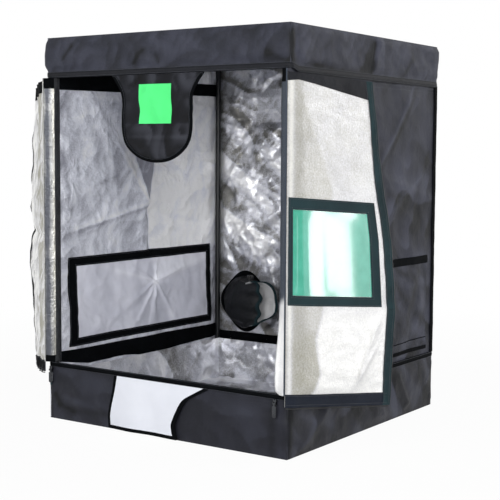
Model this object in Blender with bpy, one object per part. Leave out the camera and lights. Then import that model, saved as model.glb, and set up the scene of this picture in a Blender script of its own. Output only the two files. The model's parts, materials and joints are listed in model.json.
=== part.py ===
# Indoor grow tent with its door leaves open, built as separate pieces.
# Metres, +Z up, +X to the right along the front, +Y to the back.
# The origin is the middle of the floor panel's underside.

import math

import bmesh
import bpy
from mathutils import Matrix, Vector

# Outer box of the cover, and the cloth it is sewn from
WIDTH = 0.750
DEPTH = 0.750
HEIGHT = 1.000
SKIN = 0.001
GAP = 0.0003

# Steel tubes and their three-way corners
TUBE_RADIUS = 0.008
TUBE_WALL = 0.001
TUBE_SIDES = 16
SOCKET_LIP = 0.0007
SOCKET_REACH = 0.030
SPIGOT_LENGTH = 0.020
SPIGOT_CLEARANCE = 0.0004
SOCKET_SIDES = 12

# Bars under the roof that carry the lamp and the filter
BAR_RADIUS = 0.006
BAR_SPREAD = 0.260
BAR_DROP = 0.006
HOOK_WALL = 0.002
HOOK_WIDTH = 0.018
HOOK_BLOCK = 0.014
HOOK_SHOULDER = 0.0004
HOOK_START_DEG = -45
HOOK_END_DEG = 115
HOOK_STEPS = 10
ROOF_SLACK = 0.0027

# Header, sill and their hems
HEADER_DROP = 0.103
SILL_HEIGHT = 0.152
HEM_PROUD = 0.0025
HEADER_HEM = 0.014
SILL_HEM = 0.012
SEAM_PROUD = 0.0010
SEAM_SLOPE = 0.0005
SEAM_DEPTH = 0.012
UPPER_SEAM_DROP = 0.120

# Vent windows of the side walls
VENT_FRONT = 0.281
VENT_BACK = 0.303
VENT_LOW = 0.196
VENT_HIGH = 0.399
VENT_TAPE = 0.022
VENT_COVER_LAP = 0.026
VENT_COVER_LOW = 0.167
VENT_COVER_HIGH = 0.407
VENT_STRIP_DEPTH = 0.021
STRIP_THICK = 0.0015
MESH_THICK = 0.0006
COVER_FOLD = 0.0035
COVER_FOLDS = 3

# Door leaves, hung on bindings at the two front corners
BINDING_WIDTH = 0.0137
BINDING_FOOT = 0.009
HINGE_FORWARD = 0.017
HINGE_OUT = 0.0015
PIPING_RADIUS = 0.0016
PIPING_SIDES = 12
LEAF_START = 0.0022
LEAF_WIDTH = 0.371
LEAF_TOP = 0.888
LEAF_BOTTOM = 0.127
LEAF_TOP_FALL = 0.016
LEAF_BOTTOM_FALL = 0.044
RIGHT_HEADING_DEG = 76.0
LEFT_HEADING_DEG = 40.5
ROOT_BULGE = 0.003
ROOT_BULGE_AT = 0.030
ROOT_BULGE_SPAN = 0.020
LEAF_WAVE = 0.0022
LEAF_WAVE_LENGTH = 0.160
LEFT_BOW = 0.014
LEFT_SET_BACK = 0.008
# Width of a leaf at heights from its bottom edge to its top edge
FREE_EDGE_shares = (
    (0.0, 0.965), (0.06, 0.970), (0.17, 0.980), (0.30, 1.0), (0.52, 0.951), (0.705, 0.854), (0.945, 0.765), (1.0, 0.745),
)

# Window of the right leaf, as shares of the leaf's width and height
WINDOW_INNER_shares = (0.045, 0.785, 0.339, 0.597)
WINDOW_OUTER_shares = (0.012, 0.875, 0.309, 0.632)
WINDOW_COVER_shares = (0.030, 0.860, 0.316, 0.612)
WINDOW_STRIP_TOP_share = 0.640
LEAF_COLUMN_shares = (0.03, 0.06, 0.10, 0.15, 0.22, 0.30, 0.40, 0.50, 0.60, 0.70, 0.785, 0.91)
LEAF_ROW_shares = (0.06, 0.17, 0.30, 0.339, 0.42, 0.52, 0.597, 0.705, 0.83, 0.945)
FILM_THICK = 0.0006
TAPE_THICK = 0.0010
LAP_GAP = 0.0006

# Upper zip flap: a round-ended tongue that hangs from the header's hem
FLAP_PIVOT_OFF = 0.0008
TONGUE_CENTRE = -0.007
TONGUE_HALF = 0.108
TONGUE_ROOT_HALF = 0.148
TONGUE_NECK = 0.026
TONGUE_LENGTH = 0.214
TONGUE_ROUND = 0.079
TONGUE_END_DEG = (18, 35, 50, 63, 74, 83)
TONGUE_FOLD = 0.003
PATCH_WIDTH = 0.100
PATCH_HEIGHT = 0.096
PATCH_SHIFT = -0.006
PATCH_DROP = 0.024
PATCH_THICK = 0.0008

# Lower zip flap, which hangs over the sill
LOWER_FLAP_CLEAR = 0.003
LOWER_FLAP_FOLD = 0.004
LOWER_FLAP_LEFT = -0.146
LOWER_FLAP_WIDTH = 0.285
# Left and right edges as shares of the width, from the root down to the floor
LOWER_FLAP_EDGE_shares = (
    (0.0, 0.0, 1.0), (0.08, -0.006, 0.93), (0.25, -0.018, 0.78), (0.38, -0.032, 0.735), (0.56, -0.055, 0.690),
    (0.75, -0.074, 0.653), (0.90, -0.070, 0.667), (1.0, -0.067, 0.688),
)

# Zip sliders on the sill, with hinged pulls
SLIDER_WIDTH = 0.009
SLIDER_HEIGHT = 0.014
SLIDER_THICK = 0.0045
SLIDER_TOP_BELOW = 0.012
RIGHT_SLIDER_X = 0.344
LEFT_SLIDER_X = -0.366
PULL_WIDTH = 0.011
PULL_LENGTH = 0.033
PULL_THICK = 0.0012
PULL_EYE = 0.0012
PULL_NECK_share = 0.8
PIN_SIDES = 10

# Duct sleeves in the back wall, with drawcords and cord locks
PORT_RADIUS = 0.079
PORT_SIDES = 28
PORT_FLANGE = 0.014
INTAKE_X = -0.262
INTAKE_Z = 0.245
EXHAUST_X = 0.190
EXHAUST_DROP = 0.220
SLEEVE_WALL = 0.0012
SLEEVE_RIPPLE = 0.0025
SLEEVE_RIPPLES = 7
INTAKE_REACH = (0.092, -0.108, 0.014)
INTAKE_MOUTH_RADIUS = 0.071
EXHAUST_REACH = (0.0, 0.085, -0.022)
EXHAUST_MOUTH_RADIUS = 0.062
SLEEVE_STEPS = 5
SLEEVE_STRAIGHT_share = 0.35
CORD_RADIUS = 0.0014
CORD_SPREAD = 0.0085
CORD_RUN = 0.062
CORD_STEPS = 6
CORD_TURN_STEPS = 8
LOCK_LENGTH = 0.018
LOCK_WIDTH = 0.019
LOCK_THICK = 0.0095
LOCK_AT = 0.018
LOCK_CORD_CLEARANCE = 0.0005

# Loose tray of silver cloth on the floor
TRAY_CLEAR = 0.0010
TRAY_WALL_HEIGHT = 0.113
TRAY_LEAN = 0.004

FRONT = -DEPTH / 2
BACK = DEPTH / 2
SIDE = WIDTH / 2
INNER_SIDE = SIDE - SKIN - GAP
SOCKET_RADIUS = TUBE_RADIUS + SOCKET_LIP
TUBE_INSET = SKIN + GAP + SOCKET_RADIUS
TOP_INSET = SKIN + ROOF_SLACK + HOOK_WALL + GAP + TUBE_RADIUS
HEADER_BOTTOM = HEIGHT - HEADER_DROP
EXHAUST_Z = HEIGHT - EXHAUST_DROP
WALL_LOW = SKIN + GAP
WALL_HIGH = HEIGHT - SKIN - GAP
LEAF_AXIS = Vector((SIDE + HINGE_OUT, FRONT - HINGE_FORWARD, 0))
PIVOT_Y = FRONT - HEM_PROUD - FLAP_PIVOT_OFF

COLOURS = {
    "black_cloth": ((0.045, 0.047, 0.060), 0.62, 0.0),
    "black_tape": ((0.020, 0.022, 0.025), 0.75, 0.0),
    "silver_lining": ((0.62, 0.63, 0.66), 0.30, 0.45),
    "grey_mesh": ((0.36, 0.37, 0.40), 0.80, 0.0),
    "green_film": ((0.10, 0.62, 0.42), 0.12, 0.0),
    "green_patch": ((0.10, 0.85, 0.24), 0.55, 0.0),
    "black_steel": ((0.012, 0.012, 0.014), 0.35, 0.6),
    "black_plastic": ((0.015, 0.015, 0.017), 0.45, 0.0),
    "zip_metal": ((0.55, 0.56, 0.58), 0.30, 1.0),
    "black_cord": ((0.02, 0.02, 0.022), 0.85, 0.0),
}


def clear_scene():
    for item in list(bpy.data.objects):
        bpy.data.objects.remove(item, do_unlink=True)


def finish_material(name):
    found = bpy.data.materials.get(name)
    if found:
        return found
    colour, roughness, metallic = COLOURS[name]
    made = bpy.data.materials.new(name)
    made.use_nodes = True
    shader = made.node_tree.nodes["Principled BSDF"]
    shader.inputs["Base Color"].default_value = (*colour, 1)
    shader.inputs["Roughness"].default_value = roughness
    shader.inputs["Metallic"].default_value = metallic
    return made


def add_object(name, shape, finish, pivot=None, smooth=False):
    """Turns a bmesh in world places into a named object whose origin is the pivot."""
    bmesh.ops.recalc_face_normals(shape, faces=shape.faces)
    mesh = bpy.data.meshes.new(name)
    shape.to_mesh(mesh)
    shape.free()
    if smooth:
        mesh.shade_smooth()
        mesh.set_sharp_from_angle(angle=math.radians(40))
    mesh.materials.append(finish_material(finish))
    item = bpy.data.objects.new(name, mesh)
    bpy.context.collection.objects.link(item)
    if pivot is not None:
        mesh.transform(Matrix.Translation(-Vector(pivot)))
        item.location = pivot
    return item


def ring_loop(rings, closed=True):
    """A skin through rings of points; a closed stack comes back to its first ring."""
    shape = bmesh.new()
    loops = [[shape.verts.new(p) for p in ring] for ring in rings]
    count = len(rings[0])
    last = len(loops) if closed else len(loops) - 1
    for r in range(last):
        a, b = loops[r], loops[(r + 1) % len(loops)]
        for i in range(count):
            j = (i + 1) % count
            shape.faces.new((a[i], a[j], b[j], b[i]))
    if not closed:
        shape.faces.new(loops[0])
        shape.faces.new(loops[-1])
    return shape


def circle(centre, across, upward, radius, sides):
    turns = [2 * math.pi * i / sides for i in range(sides)]
    return [centre + (across * math.cos(t) + upward * math.sin(t)) * radius for t in turns]


def frame_of(direction):
    """Two unit vectors square to a direction, the second as upright as it can be."""
    guide = Vector((0, 0, 1)) if abs(direction.z) < 0.9 else Vector((0, 1, 0))
    across = direction.cross(guide).normalized()
    return across, across.cross(direction).normalized()


def round_bar(start, end, radius, sides):
    start, end = Vector(start), Vector(end)
    across, upward = frame_of((end - start).normalized())
    return ring_loop([circle(start, across, upward, radius, sides), circle(end, across, upward, radius, sides)], False)


def stepped_bar(centre, direction, steps, sides):
    """A turned bar: steps are pairs of distance along the direction and radius."""
    across, upward = frame_of(direction)
    return ring_loop([circle(centre + direction * d, across, upward, r, sides) for d, r in steps], False)


def hollow_tube(name, start, end):
    start, end = Vector(start), Vector(end)
    across, upward = frame_of((end - start).normalized())
    bore = TUBE_RADIUS - TUBE_WALL
    rings = [circle(p, across, upward, r, TUBE_SIDES) for p, r in (
        (start, bore), (start, TUBE_RADIUS), (end, TUBE_RADIUS), (end, bore))]
    return add_object(name, ring_loop(rings), "black_steel", smooth=True)


def block(low, high):
    shape = bmesh.new()
    bmesh.ops.create_cube(shape, size=1)
    low, high = Vector(low), Vector(high)
    for vert in shape.verts:
        for axis in range(3):
            vert.co[axis] = high[axis] if vert.co[axis] > 0 else low[axis]
    return shape


def prism(outline, low, high, place):
    """Extrudes an outline of (a, b) points between two distances; place puts (a, b, distance) in space."""
    rings = [[place(a, b, d) for a, b in outline] for d in (low, high)]
    return ring_loop(rings, False)


def sheet(columns, rows, place, back, front, hole=None):
    """A cloth of even thickness on a grid. place(column, row, offset) gives a point, and
    hole holds the first and last column and row values of a window, if there is one."""
    shape = bmesh.new()
    grid = {}
    for side, offset in (("back", back), ("front", front)):
        for i, column in enumerate(columns):
            for j, row in enumerate(rows):
                off = offset(column, row) if callable(offset) else offset
                grid[side, i, j] = shape.verts.new(place(column, row, off))

    def kept(i, j):
        if not (0 <= i < len(columns) - 1 and 0 <= j < len(rows) - 1):
            return False
        if hole is None:
            return True
        middle = ((columns[i] + columns[i + 1]) / 2, (rows[j] + rows[j + 1]) / 2)
        return not (hole[0] < middle[0] < hole[1] and hole[2] < middle[1] < hole[3])

    for i in range(len(columns) - 1):
        for j in range(len(rows) - 1):
            if not kept(i, j):
                continue
            corners = ((i, j), (i + 1, j), (i + 1, j + 1), (i, j + 1))
            for side in ("back", "front"):
                shape.faces.new([grid[(side, *c)] for c in corners])
            neighbours = ((i, j - 1), (i + 1, j), (i, j + 1), (i - 1, j))
            for k, neighbour in enumerate(neighbours):
                if not kept(*neighbour):
                    a, b = corners[k], corners[(k + 1) % 4]
                    shape.faces.new([grid[(s, *c)] for s, c in (("back", a), ("back", b), ("front", b), ("front", a))])
    loose = [v for v in shape.verts if not v.link_faces]
    bmesh.ops.delete(shape, geom=loose, context="VERTS")
    return shape


def spaced(low, high, count):
    return [low + (high - low) * i / count for i in range(count + 1)]


def apply_boolean(item, tool_shape, operation):
    """Joins a tool with an object, or cuts it out, and keeps the plain result."""
    tool = add_object(item.name + "_tool", tool_shape, "black_tape")
    change = item.modifiers.new("cut", "BOOLEAN")
    change.operation = operation
    change.solver = "EXACT"
    change.object = tool
    seen = item.evaluated_get(bpy.context.evaluated_depsgraph_get())
    result = bpy.data.meshes.new_from_object(seen)
    item.modifiers.clear()
    item.data = result
    bpy.data.objects.remove(tool, do_unlink=True)


def corner_centre(x, y, z):
    """Where the three tubes of a corner would meet; each argument is -1 or 1."""
    height = TUBE_INSET if z < 0 else HEIGHT - TOP_INSET
    return Vector((x * (SIDE - TUBE_INSET), y * (BACK - TUBE_INSET), height))


def corner_connector(name, x, y, z):
    centre = corner_centre(x, y, z)
    half = Vector((SOCKET_RADIUS, SOCKET_RADIUS, SOCKET_RADIUS))
    item = add_object(name, block(centre - half, centre + half), "black_plastic")
    arm = TUBE_RADIUS + SOCKET_LIP / 2
    spigot = TUBE_RADIUS - TUBE_WALL - SPIGOT_CLEARANCE
    steps = ((0, arm), (SOCKET_REACH, arm), (SOCKET_REACH, spigot), (SOCKET_REACH + SPIGOT_LENGTH, spigot))
    for direction in (Vector((-x, 0, 0)), Vector((0, -y, 0)), Vector((0, 0, -z))):
        apply_boolean(item, stepped_bar(centre, direction, steps, SOCKET_SIDES), "UNION")


def build_frame():
    sides = {-1: "left", 1: "right"}
    depths = {-1: "front", 1: "back"}
    levels = {-1: "bottom", 1: "top"}
    start = SOCKET_REACH + GAP
    for x in sides:
        for y in depths:
            low, high = corner_centre(x, y, -1), corner_centre(x, y, 1)
            lift = Vector((0, 0, start))
            hollow_tube(f"upright_{depths[y]}_{sides[x]}", low + lift, high - lift)
            for z in levels:
                corner_connector(f"corner_{levels[z]}_{depths[y]}_{sides[x]}", x, y, z)
    for z in levels:
        for y in depths:
            a, b = corner_centre(-1, y, z), corner_centre(1, y, z)
            hollow_tube(f"{levels[z]}_rail_{depths[y]}", a + Vector((start, 0, 0)), b - Vector((start, 0, 0)))
        for x in sides:
            a, b = corner_centre(x, -1, z), corner_centre(x, 1, z)
            hollow_tube(f"{levels[z]}_rail_{sides[x]}", a + Vector((0, start, 0)), b - Vector((0, start, 0)))


def hook_outline():
    """A hook over the side rail, seen along Y, about the rail's centre, for the left end."""
    inner = TUBE_RADIUS + GAP
    outer = inner + HOOK_WALL
    half = BAR_RADIUS + HOOK_SHOULDER
    under_turns = [math.radians(a) for a in spaced(HOOK_START_DEG, HOOK_END_DEG, HOOK_STEPS)]
    over_turns = [math.radians(a) for a in spaced(HOOK_END_DEG, 0, HOOK_STEPS)]
    under = [(inner * math.cos(t), inner * math.sin(t)) for t in under_turns]
    over = [(outer * math.cos(t), outer * math.sin(t)) for t in over_turns]
    end = outer + HOOK_BLOCK
    return under + over + [(end, half - BAR_DROP), (end, -half - BAR_DROP), (under[0][0], -half - BAR_DROP)]


def hanging_bar(name, y):
    """A bar from side rail to side rail, with a hook over the rail at each end."""
    rail = corner_centre(-1, 1, 1)
    reach = -rail.x - TUBE_RADIUS - GAP - HOOK_WALL - HOOK_BLOCK / 2
    z = rail.z - BAR_DROP
    rod = round_bar((-reach, y, z), (reach, y, z), BAR_RADIUS, SOCKET_SIDES)
    item = add_object(name, rod, "black_steel", (0, y, z))
    for side in (1, -1):
        def place(a, b, d):
            return Vector((side * (rail.x + a), y + d, rail.z + b))
        apply_boolean(item, prism(hook_outline(), -HOOK_WIDTH / 2, HOOK_WIDTH / 2, place), "UNION")


def seam_offset(bands):
    """The outer face of a wall, which stands proud along each seam band (low, high)."""
    def offset(_, z):
        inside = any(low <= z <= high for low, high in bands)
        return SKIN + SEAM_PROUD if inside else SKIN
    return offset


def seam_rows(low, high, bands, extra=()):
    rows = [low, high, *extra]
    for a, b in bands:
        rows += [a - SEAM_SLOPE, a, b, b + SEAM_SLOPE]
    return sorted(rows)


def side_wall(name, side):
    """A side wall from floor to roof, with its seam bands and the hole of the vent window."""
    upper = HEIGHT - UPPER_SEAM_DROP
    bands = ((SILL_HEIGHT - SEAM_DEPTH, SILL_HEIGHT), (upper, upper + SEAM_DEPTH))
    rows = seam_rows(WALL_LOW, WALL_HIGH, bands, (VENT_LOW, VENT_HIGH))
    columns = [FRONT, -VENT_FRONT, VENT_BACK, BACK]

    def place(y, z, off):
        return Vector((side * (SIDE - SKIN + off), y, z))
    hole = (-VENT_FRONT, VENT_BACK, VENT_LOW, VENT_HIGH)
    add_object(name, sheet(columns, rows, place, 0, seam_offset(bands), hole), "black_cloth")


def vent_window(side, word):
    """Mesh in the wall's hole, tape round it inside, and a cover with a closing strip outside."""
    def place(y, z, off):
        return Vector((side * (SIDE - SKIN + off), y, z))

    middle = SKIN / 2
    mesh = sheet([-VENT_FRONT + GAP, VENT_BACK - GAP], [VENT_LOW + GAP, VENT_HIGH - GAP], place,
                 middle - MESH_THICK / 2, middle + MESH_THICK / 2)
    add_object(f"{word}_vent_mesh", mesh, "grey_mesh")
    columns = [-VENT_FRONT - VENT_TAPE, -VENT_FRONT, VENT_BACK, VENT_BACK + VENT_TAPE]
    rows = [VENT_LOW - VENT_TAPE, VENT_LOW, VENT_HIGH, VENT_HIGH + VENT_TAPE]
    hole = (-VENT_FRONT, VENT_BACK, VENT_LOW, VENT_HIGH)
    add_object(f"{word}_vent_frame", sheet(columns, rows, place, -GAP - TAPE_THICK, -GAP, hole), "black_tape")
    cover_ends = (-VENT_FRONT - VENT_COVER_LAP, VENT_BACK + VENT_COVER_LAP)
    on_wall = SKIN + GAP
    columns = spaced(*cover_ends, 4 * COVER_FOLDS)
    rows = spaced(VENT_COVER_LOW, VENT_COVER_HIGH, 8)
    span = cover_ends[1] - cover_ends[0]
    height = VENT_COVER_HIGH - VENT_COVER_LOW

    def puff(y, z):
        along = (y - cover_ends[0]) / span
        up = (z - VENT_COVER_LOW) / height
        slant = math.sin(math.pi * (COVER_FOLDS * along + up)) ** 2
        return COVER_FOLD * slant * math.sin(math.pi * along) * math.sin(math.pi * up)

    def back(y, z):
        return on_wall + puff(y, z)

    def front(y, z):
        return on_wall + SKIN + puff(y, z)
    add_object(f"{word}_vent_cover", sheet(columns, rows, place, back, front), "black_cloth")
    rows = [VENT_COVER_HIGH + GAP, VENT_COVER_HIGH + GAP + VENT_STRIP_DEPTH]
    strip = sheet(list(cover_ends), rows, place, on_wall, on_wall + STRIP_THICK)
    pivot = place(0, VENT_COVER_HIGH, on_wall)
    add_object(f"{word}_vent_cover_strip", strip, "black_tape", pivot)


def back_wall():
    """The back wall with the holes of the two duct ports."""
    upper = HEIGHT - UPPER_SEAM_DROP
    bands = ((SILL_HEIGHT - SEAM_DEPTH, SILL_HEIGHT), (upper, upper + SEAM_DEPTH))

    def place(x, z, off):
        return Vector((x, BACK - SKIN + off, z))
    rows = seam_rows(WALL_LOW, WALL_HIGH, bands)
    wall = add_object("back_wall", sheet([-INNER_SIDE, INNER_SIDE], rows, place, 0, seam_offset(bands)), "black_cloth")
    for x, z in ((INTAKE_X, INTAKE_Z), (EXHAUST_X, EXHAUST_Z)):
        reach = 4 * SKIN
        tool = round_bar((x, BACK - SKIN - reach, z), (x, BACK + reach, z), PORT_RADIUS, PORT_SIDES)
        apply_boolean(wall, tool, "DIFFERENCE")


def front_panels():
    """The header above the doorway and the sill below it, each with a raised hem."""
    def place(x, z, off):
        return Vector((x, FRONT + SKIN - off, z))

    def header_face(_, z):
        return SKIN + HEM_PROUD if z <= HEADER_BOTTOM + HEADER_HEM else SKIN

    def sill_face(_, z):
        return SKIN + HEM_PROUD if z >= SILL_HEIGHT - SILL_HEM else SKIN
    hem = HEADER_BOTTOM + HEADER_HEM
    rows = [HEADER_BOTTOM, hem, hem + SEAM_SLOPE, WALL_HIGH]
    add_object("header_front", sheet([-INNER_SIDE, INNER_SIDE], rows, place, 0, header_face), "black_cloth")
    hem = SILL_HEIGHT - SILL_HEM
    rows = [WALL_LOW, hem - SEAM_SLOPE, hem, SILL_HEIGHT]
    add_object("sill_front", sheet([-INNER_SIDE, INNER_SIDE], rows, place, 0, sill_face), "black_cloth")


def flat_panels():
    add_object("roof_panel", block((-SIDE, FRONT, HEIGHT - SKIN), (SIDE, BACK, HEIGHT)), "black_cloth")
    add_object("floor_panel", block((-SIDE, FRONT, 0), (SIDE, BACK, SKIN)), "black_cloth")


def floor_tray():
    """A loose tray whose low walls lean on the bottom rails."""
    base = WALL_LOW
    outer_x = SIDE - TUBE_INSET - SOCKET_RADIUS - TRAY_CLEAR
    outer_y = BACK - TUBE_INSET - SOCKET_RADIUS - TRAY_CLEAR

    def corner_ring(inset, z):
        x, y = outer_x - inset, outer_y - inset
        return [Vector(p) for p in ((-x, -y, z), (x, -y, z), (x, y, z), (-x, y, z))]
    top = base + TRAY_WALL_HEIGHT
    rings = [corner_ring(TRAY_LEAN, base), corner_ring(0, top), corner_ring(SKIN, top),
             corner_ring(TRAY_LEAN + SKIN, base + SKIN)]
    add_object("floor_tray", ring_loop(rings, False), "silver_lining")


def door_binding(name, side):
    """Tape along a front corner that stands forward and ends in the piping the leaf turns on."""
    axis = Vector((LEAF_AXIS.x, LEAF_AXIS.y))
    root = Vector((SIDE - BINDING_FOOT, FRONT))
    along = (axis - root).normalized()
    square = Vector((-along.y, along.x)) * (SKIN / 2)
    start = math.atan2(-along.y, -along.x)
    spread = math.asin(SKIN / 2 / PIPING_RADIUS)
    turns = spaced(start + spread, start + 2 * math.pi - spread, PIPING_SIDES)
    piping = [(axis.x + PIPING_RADIUS * math.cos(t), axis.y + PIPING_RADIUS * math.sin(t)) for t in turns]
    near, far = root - square, root + square
    outline = [(INNER_SIDE, FRONT + SKIN), (INNER_SIDE, FRONT), (max(near.x, far.x), FRONT)]
    outline += list(reversed(piping)) if piping[0][0] < piping[-1][0] else piping
    outline += [(min(near.x, far.x), FRONT), (SIDE - SKIN - GAP - BINDING_WIDTH, FRONT),
                (SIDE - SKIN - GAP - BINDING_WIDTH, FRONT + SKIN)]

    def place(a, b, d):
        return Vector((side * a, b, d))
    shape = prism(outline, SILL_HEIGHT + GAP, HEADER_BOTTOM - GAP, place)
    add_object(name, shape, "black_tape")


def leaf_width(v):
    for (low, a), (high, b) in zip(FREE_EDGE_shares, FREE_EDGE_shares[1:]):
        if v <= high:
            return LEAF_WIDTH * (a + (b - a) * (v - low) / (high - low))
    return LEAF_WIDTH * FREE_EDGE_shares[-1][1]


def leaf_place(side):
    """Gives points on an open leaf: share of its width, share of its height, offset to the lining's side."""
    heading = math.radians(RIGHT_HEADING_DEG if side > 0 else LEFT_HEADING_DEG)
    run = Vector((math.cos(heading), math.sin(heading), 0))
    out = Vector((math.sin(heading), -math.cos(heading), 0))

    def fold(s, c, v):
        bump = ROOT_BULGE * math.exp(-((s - ROOT_BULGE_AT) / ROOT_BULGE_SPAN) ** 2) * min(1, s / ROOT_BULGE_AT)
        wave = LEAF_WAVE * (1 - math.cos(2 * math.pi * s / LEAF_WAVE_LENGTH)) / 2
        if side > 0:
            return bump + wave
        return wave + c * c * (LEFT_BOW * math.sin(math.pi * v) - LEFT_SET_BACK)

    def place(c, v, off):
        s = LEAF_START + c * (leaf_width(v) - LEAF_START)
        share = s / LEAF_WIDTH
        low = LEAF_BOTTOM - LEAF_BOTTOM_FALL * share
        high = LEAF_TOP - LEAF_TOP_FALL * share
        point = LEAF_AXIS + run * s + out * (fold(s, c, v) + off)
        return Vector((side * point.x, point.y, low + v * (high - low)))
    return place


def leaf_grid(shares, extra_columns, extra_rows):
    columns = sorted(set([shares[0], shares[1]] + [c for c in extra_columns if shares[0] < c < shares[1]]))
    rows = sorted(set([shares[2], shares[3]] + [v for v in extra_rows if shares[2] < v < shares[3]]))
    return columns, rows


def door_leaves():
    """The two leaves and, in the right one, the window with its tape, film and cover."""
    steps, levels = list(LEAF_COLUMN_shares), list(LEAF_ROW_shares)
    half = SKIN / 2
    whole = (0, 1, 0, 1)
    pivots = {1: LEAF_AXIS + Vector((0, 0, LEAF_BOTTOM)), -1: Vector((-LEAF_AXIS.x, LEAF_AXIS.y, LEAF_BOTTOM))}
    place = leaf_place(-1)
    columns, rows = leaf_grid(whole, steps, levels)
    add_object("left_door_leaf", sheet(columns, rows, place, -half, half), "silver_lining", pivots[-1])
    place = leaf_place(1)
    inner = WINDOW_INNER_shares
    outer = WINDOW_OUTER_shares
    columns, rows = leaf_grid(whole, steps + [*inner[:2], *outer[:2]], levels + [*inner[2:], *outer[2:]])
    add_object("right_door_leaf", sheet(columns, rows, place, -half, half, inner), "silver_lining", pivots[1])

    columns, rows = leaf_grid(outer, steps + list(inner[:2]), levels + list(inner[2:]))
    frame = sheet(columns, rows, place, half + LAP_GAP, half + LAP_GAP + TAPE_THICK, inner)
    add_object("window_frame", frame, "black_tape", pivots[1])

    slip = GAP / (LEAF_WIDTH * FREE_EDGE_shares[-1][1])
    film_shares = (inner[0] + slip, inner[1] - slip, inner[2] + slip, inner[3] - slip)
    columns, rows = leaf_grid(film_shares, steps, levels)
    film = sheet(columns, rows, place, -FILM_THICK / 2, FILM_THICK / 2)
    add_object("window_film", film, "green_film", pivots[1])

    columns, rows = leaf_grid(WINDOW_COVER_shares, steps, levels)
    cover = sheet(columns, rows, place, -half - LAP_GAP - SKIN, -half - LAP_GAP)
    add_object("window_cover", cover, "black_cloth", pivots[1])

    strip_shares = (*WINDOW_COVER_shares[:2], WINDOW_COVER_shares[3] + slip, WINDOW_STRIP_TOP_share)
    columns, rows = leaf_grid(strip_shares, steps, [])
    strip = sheet(columns, rows, place, -half - LAP_GAP - STRIP_THICK, -half - LAP_GAP)
    add_object("window_cover_strip", strip, "black_tape", pivots[1])


def tongue_half(drop):
    """Half the upper flap's width at a distance below its root."""
    straight = TONGUE_LENGTH - TONGUE_ROUND
    if drop <= TONGUE_NECK:
        share = drop / TONGUE_NECK
        return TONGUE_ROOT_HALF + (TONGUE_HALF - TONGUE_ROOT_HALF) * math.sin(share * math.pi / 2)
    if drop <= straight:
        return TONGUE_HALF
    return TONGUE_HALF * math.sqrt(max(0, 1 - ((drop - straight) / TONGUE_ROUND) ** 2))


def tongue_drops():
    straight = TONGUE_LENGTH - TONGUE_ROUND
    turns = [math.radians(a) for a in TONGUE_END_DEG]
    neck = spaced(0, TONGUE_NECK, 3)
    shaft = spaced(TONGUE_NECK, straight, 4)[1:]
    return neck + shaft + [straight + TONGUE_ROUND * math.sin(t) for t in turns]


def upper_flap():
    pivot = Vector((0, PIVOT_Y, HEADER_BOTTOM - FLAP_PIVOT_OFF))

    def place(share, drop, off):
        wave = TONGUE_FOLD * (drop / TONGUE_LENGTH) * (1 - math.cos(math.pi * share)) / 2
        x = TONGUE_CENTRE + share * tongue_half(drop)
        return Vector((x, pivot.y - wave - off, pivot.z - drop))
    half = SKIN / 2
    shape = sheet(spaced(-1, 1, 8), tongue_drops(), place, -half, half)
    add_object("upper_zip_flap", shape, "black_cloth", pivot)

    low = TONGUE_CENTRE + PATCH_SHIFT - PATCH_WIDTH / 2

    def on_flap(x, drop, off):
        share = (x - TONGUE_CENTRE) / tongue_half(drop)
        return place(share, drop, off)
    columns = spaced(low, low + PATCH_WIDTH, 4)
    rows = spaced(PATCH_DROP, PATCH_DROP + PATCH_HEIGHT, 4)
    lift = half + 2 * GAP
    patch = sheet(columns, rows, on_flap, lift, lift + PATCH_THICK)
    add_object("zip_flap_patch", patch, "green_patch", pivot)


def lower_flap():
    pivot = Vector((0, PIVOT_Y, SILL_HEIGHT - SILL_HEM - FLAP_PIVOT_OFF))
    length = pivot.z - LOWER_FLAP_CLEAR

    def edges(drop):
        for (low, a, b), (high, c, d) in zip(LOWER_FLAP_EDGE_shares, LOWER_FLAP_EDGE_shares[1:]):
            if drop <= high:
                t = (drop - low) / (high - low)
                return a + (c - a) * t, b + (d - b) * t
        return LOWER_FLAP_EDGE_shares[-1][1:]

    def place(across, drop, off):
        left, right = edges(drop)
        x = LOWER_FLAP_LEFT + LOWER_FLAP_WIDTH * (left + (right - left) * across)
        wave = LOWER_FLAP_FOLD * drop * (1 - math.cos(3 * math.pi * across)) / 2
        return Vector((x, pivot.y - wave - off, pivot.z - drop * length))
    half = SKIN / 2
    rows = [row[0] for row in LOWER_FLAP_EDGE_shares]
    add_object("lower_zip_flap", sheet(spaced(0, 1, 9), rows, place, -half, half), "silver_lining", pivot)


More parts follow.
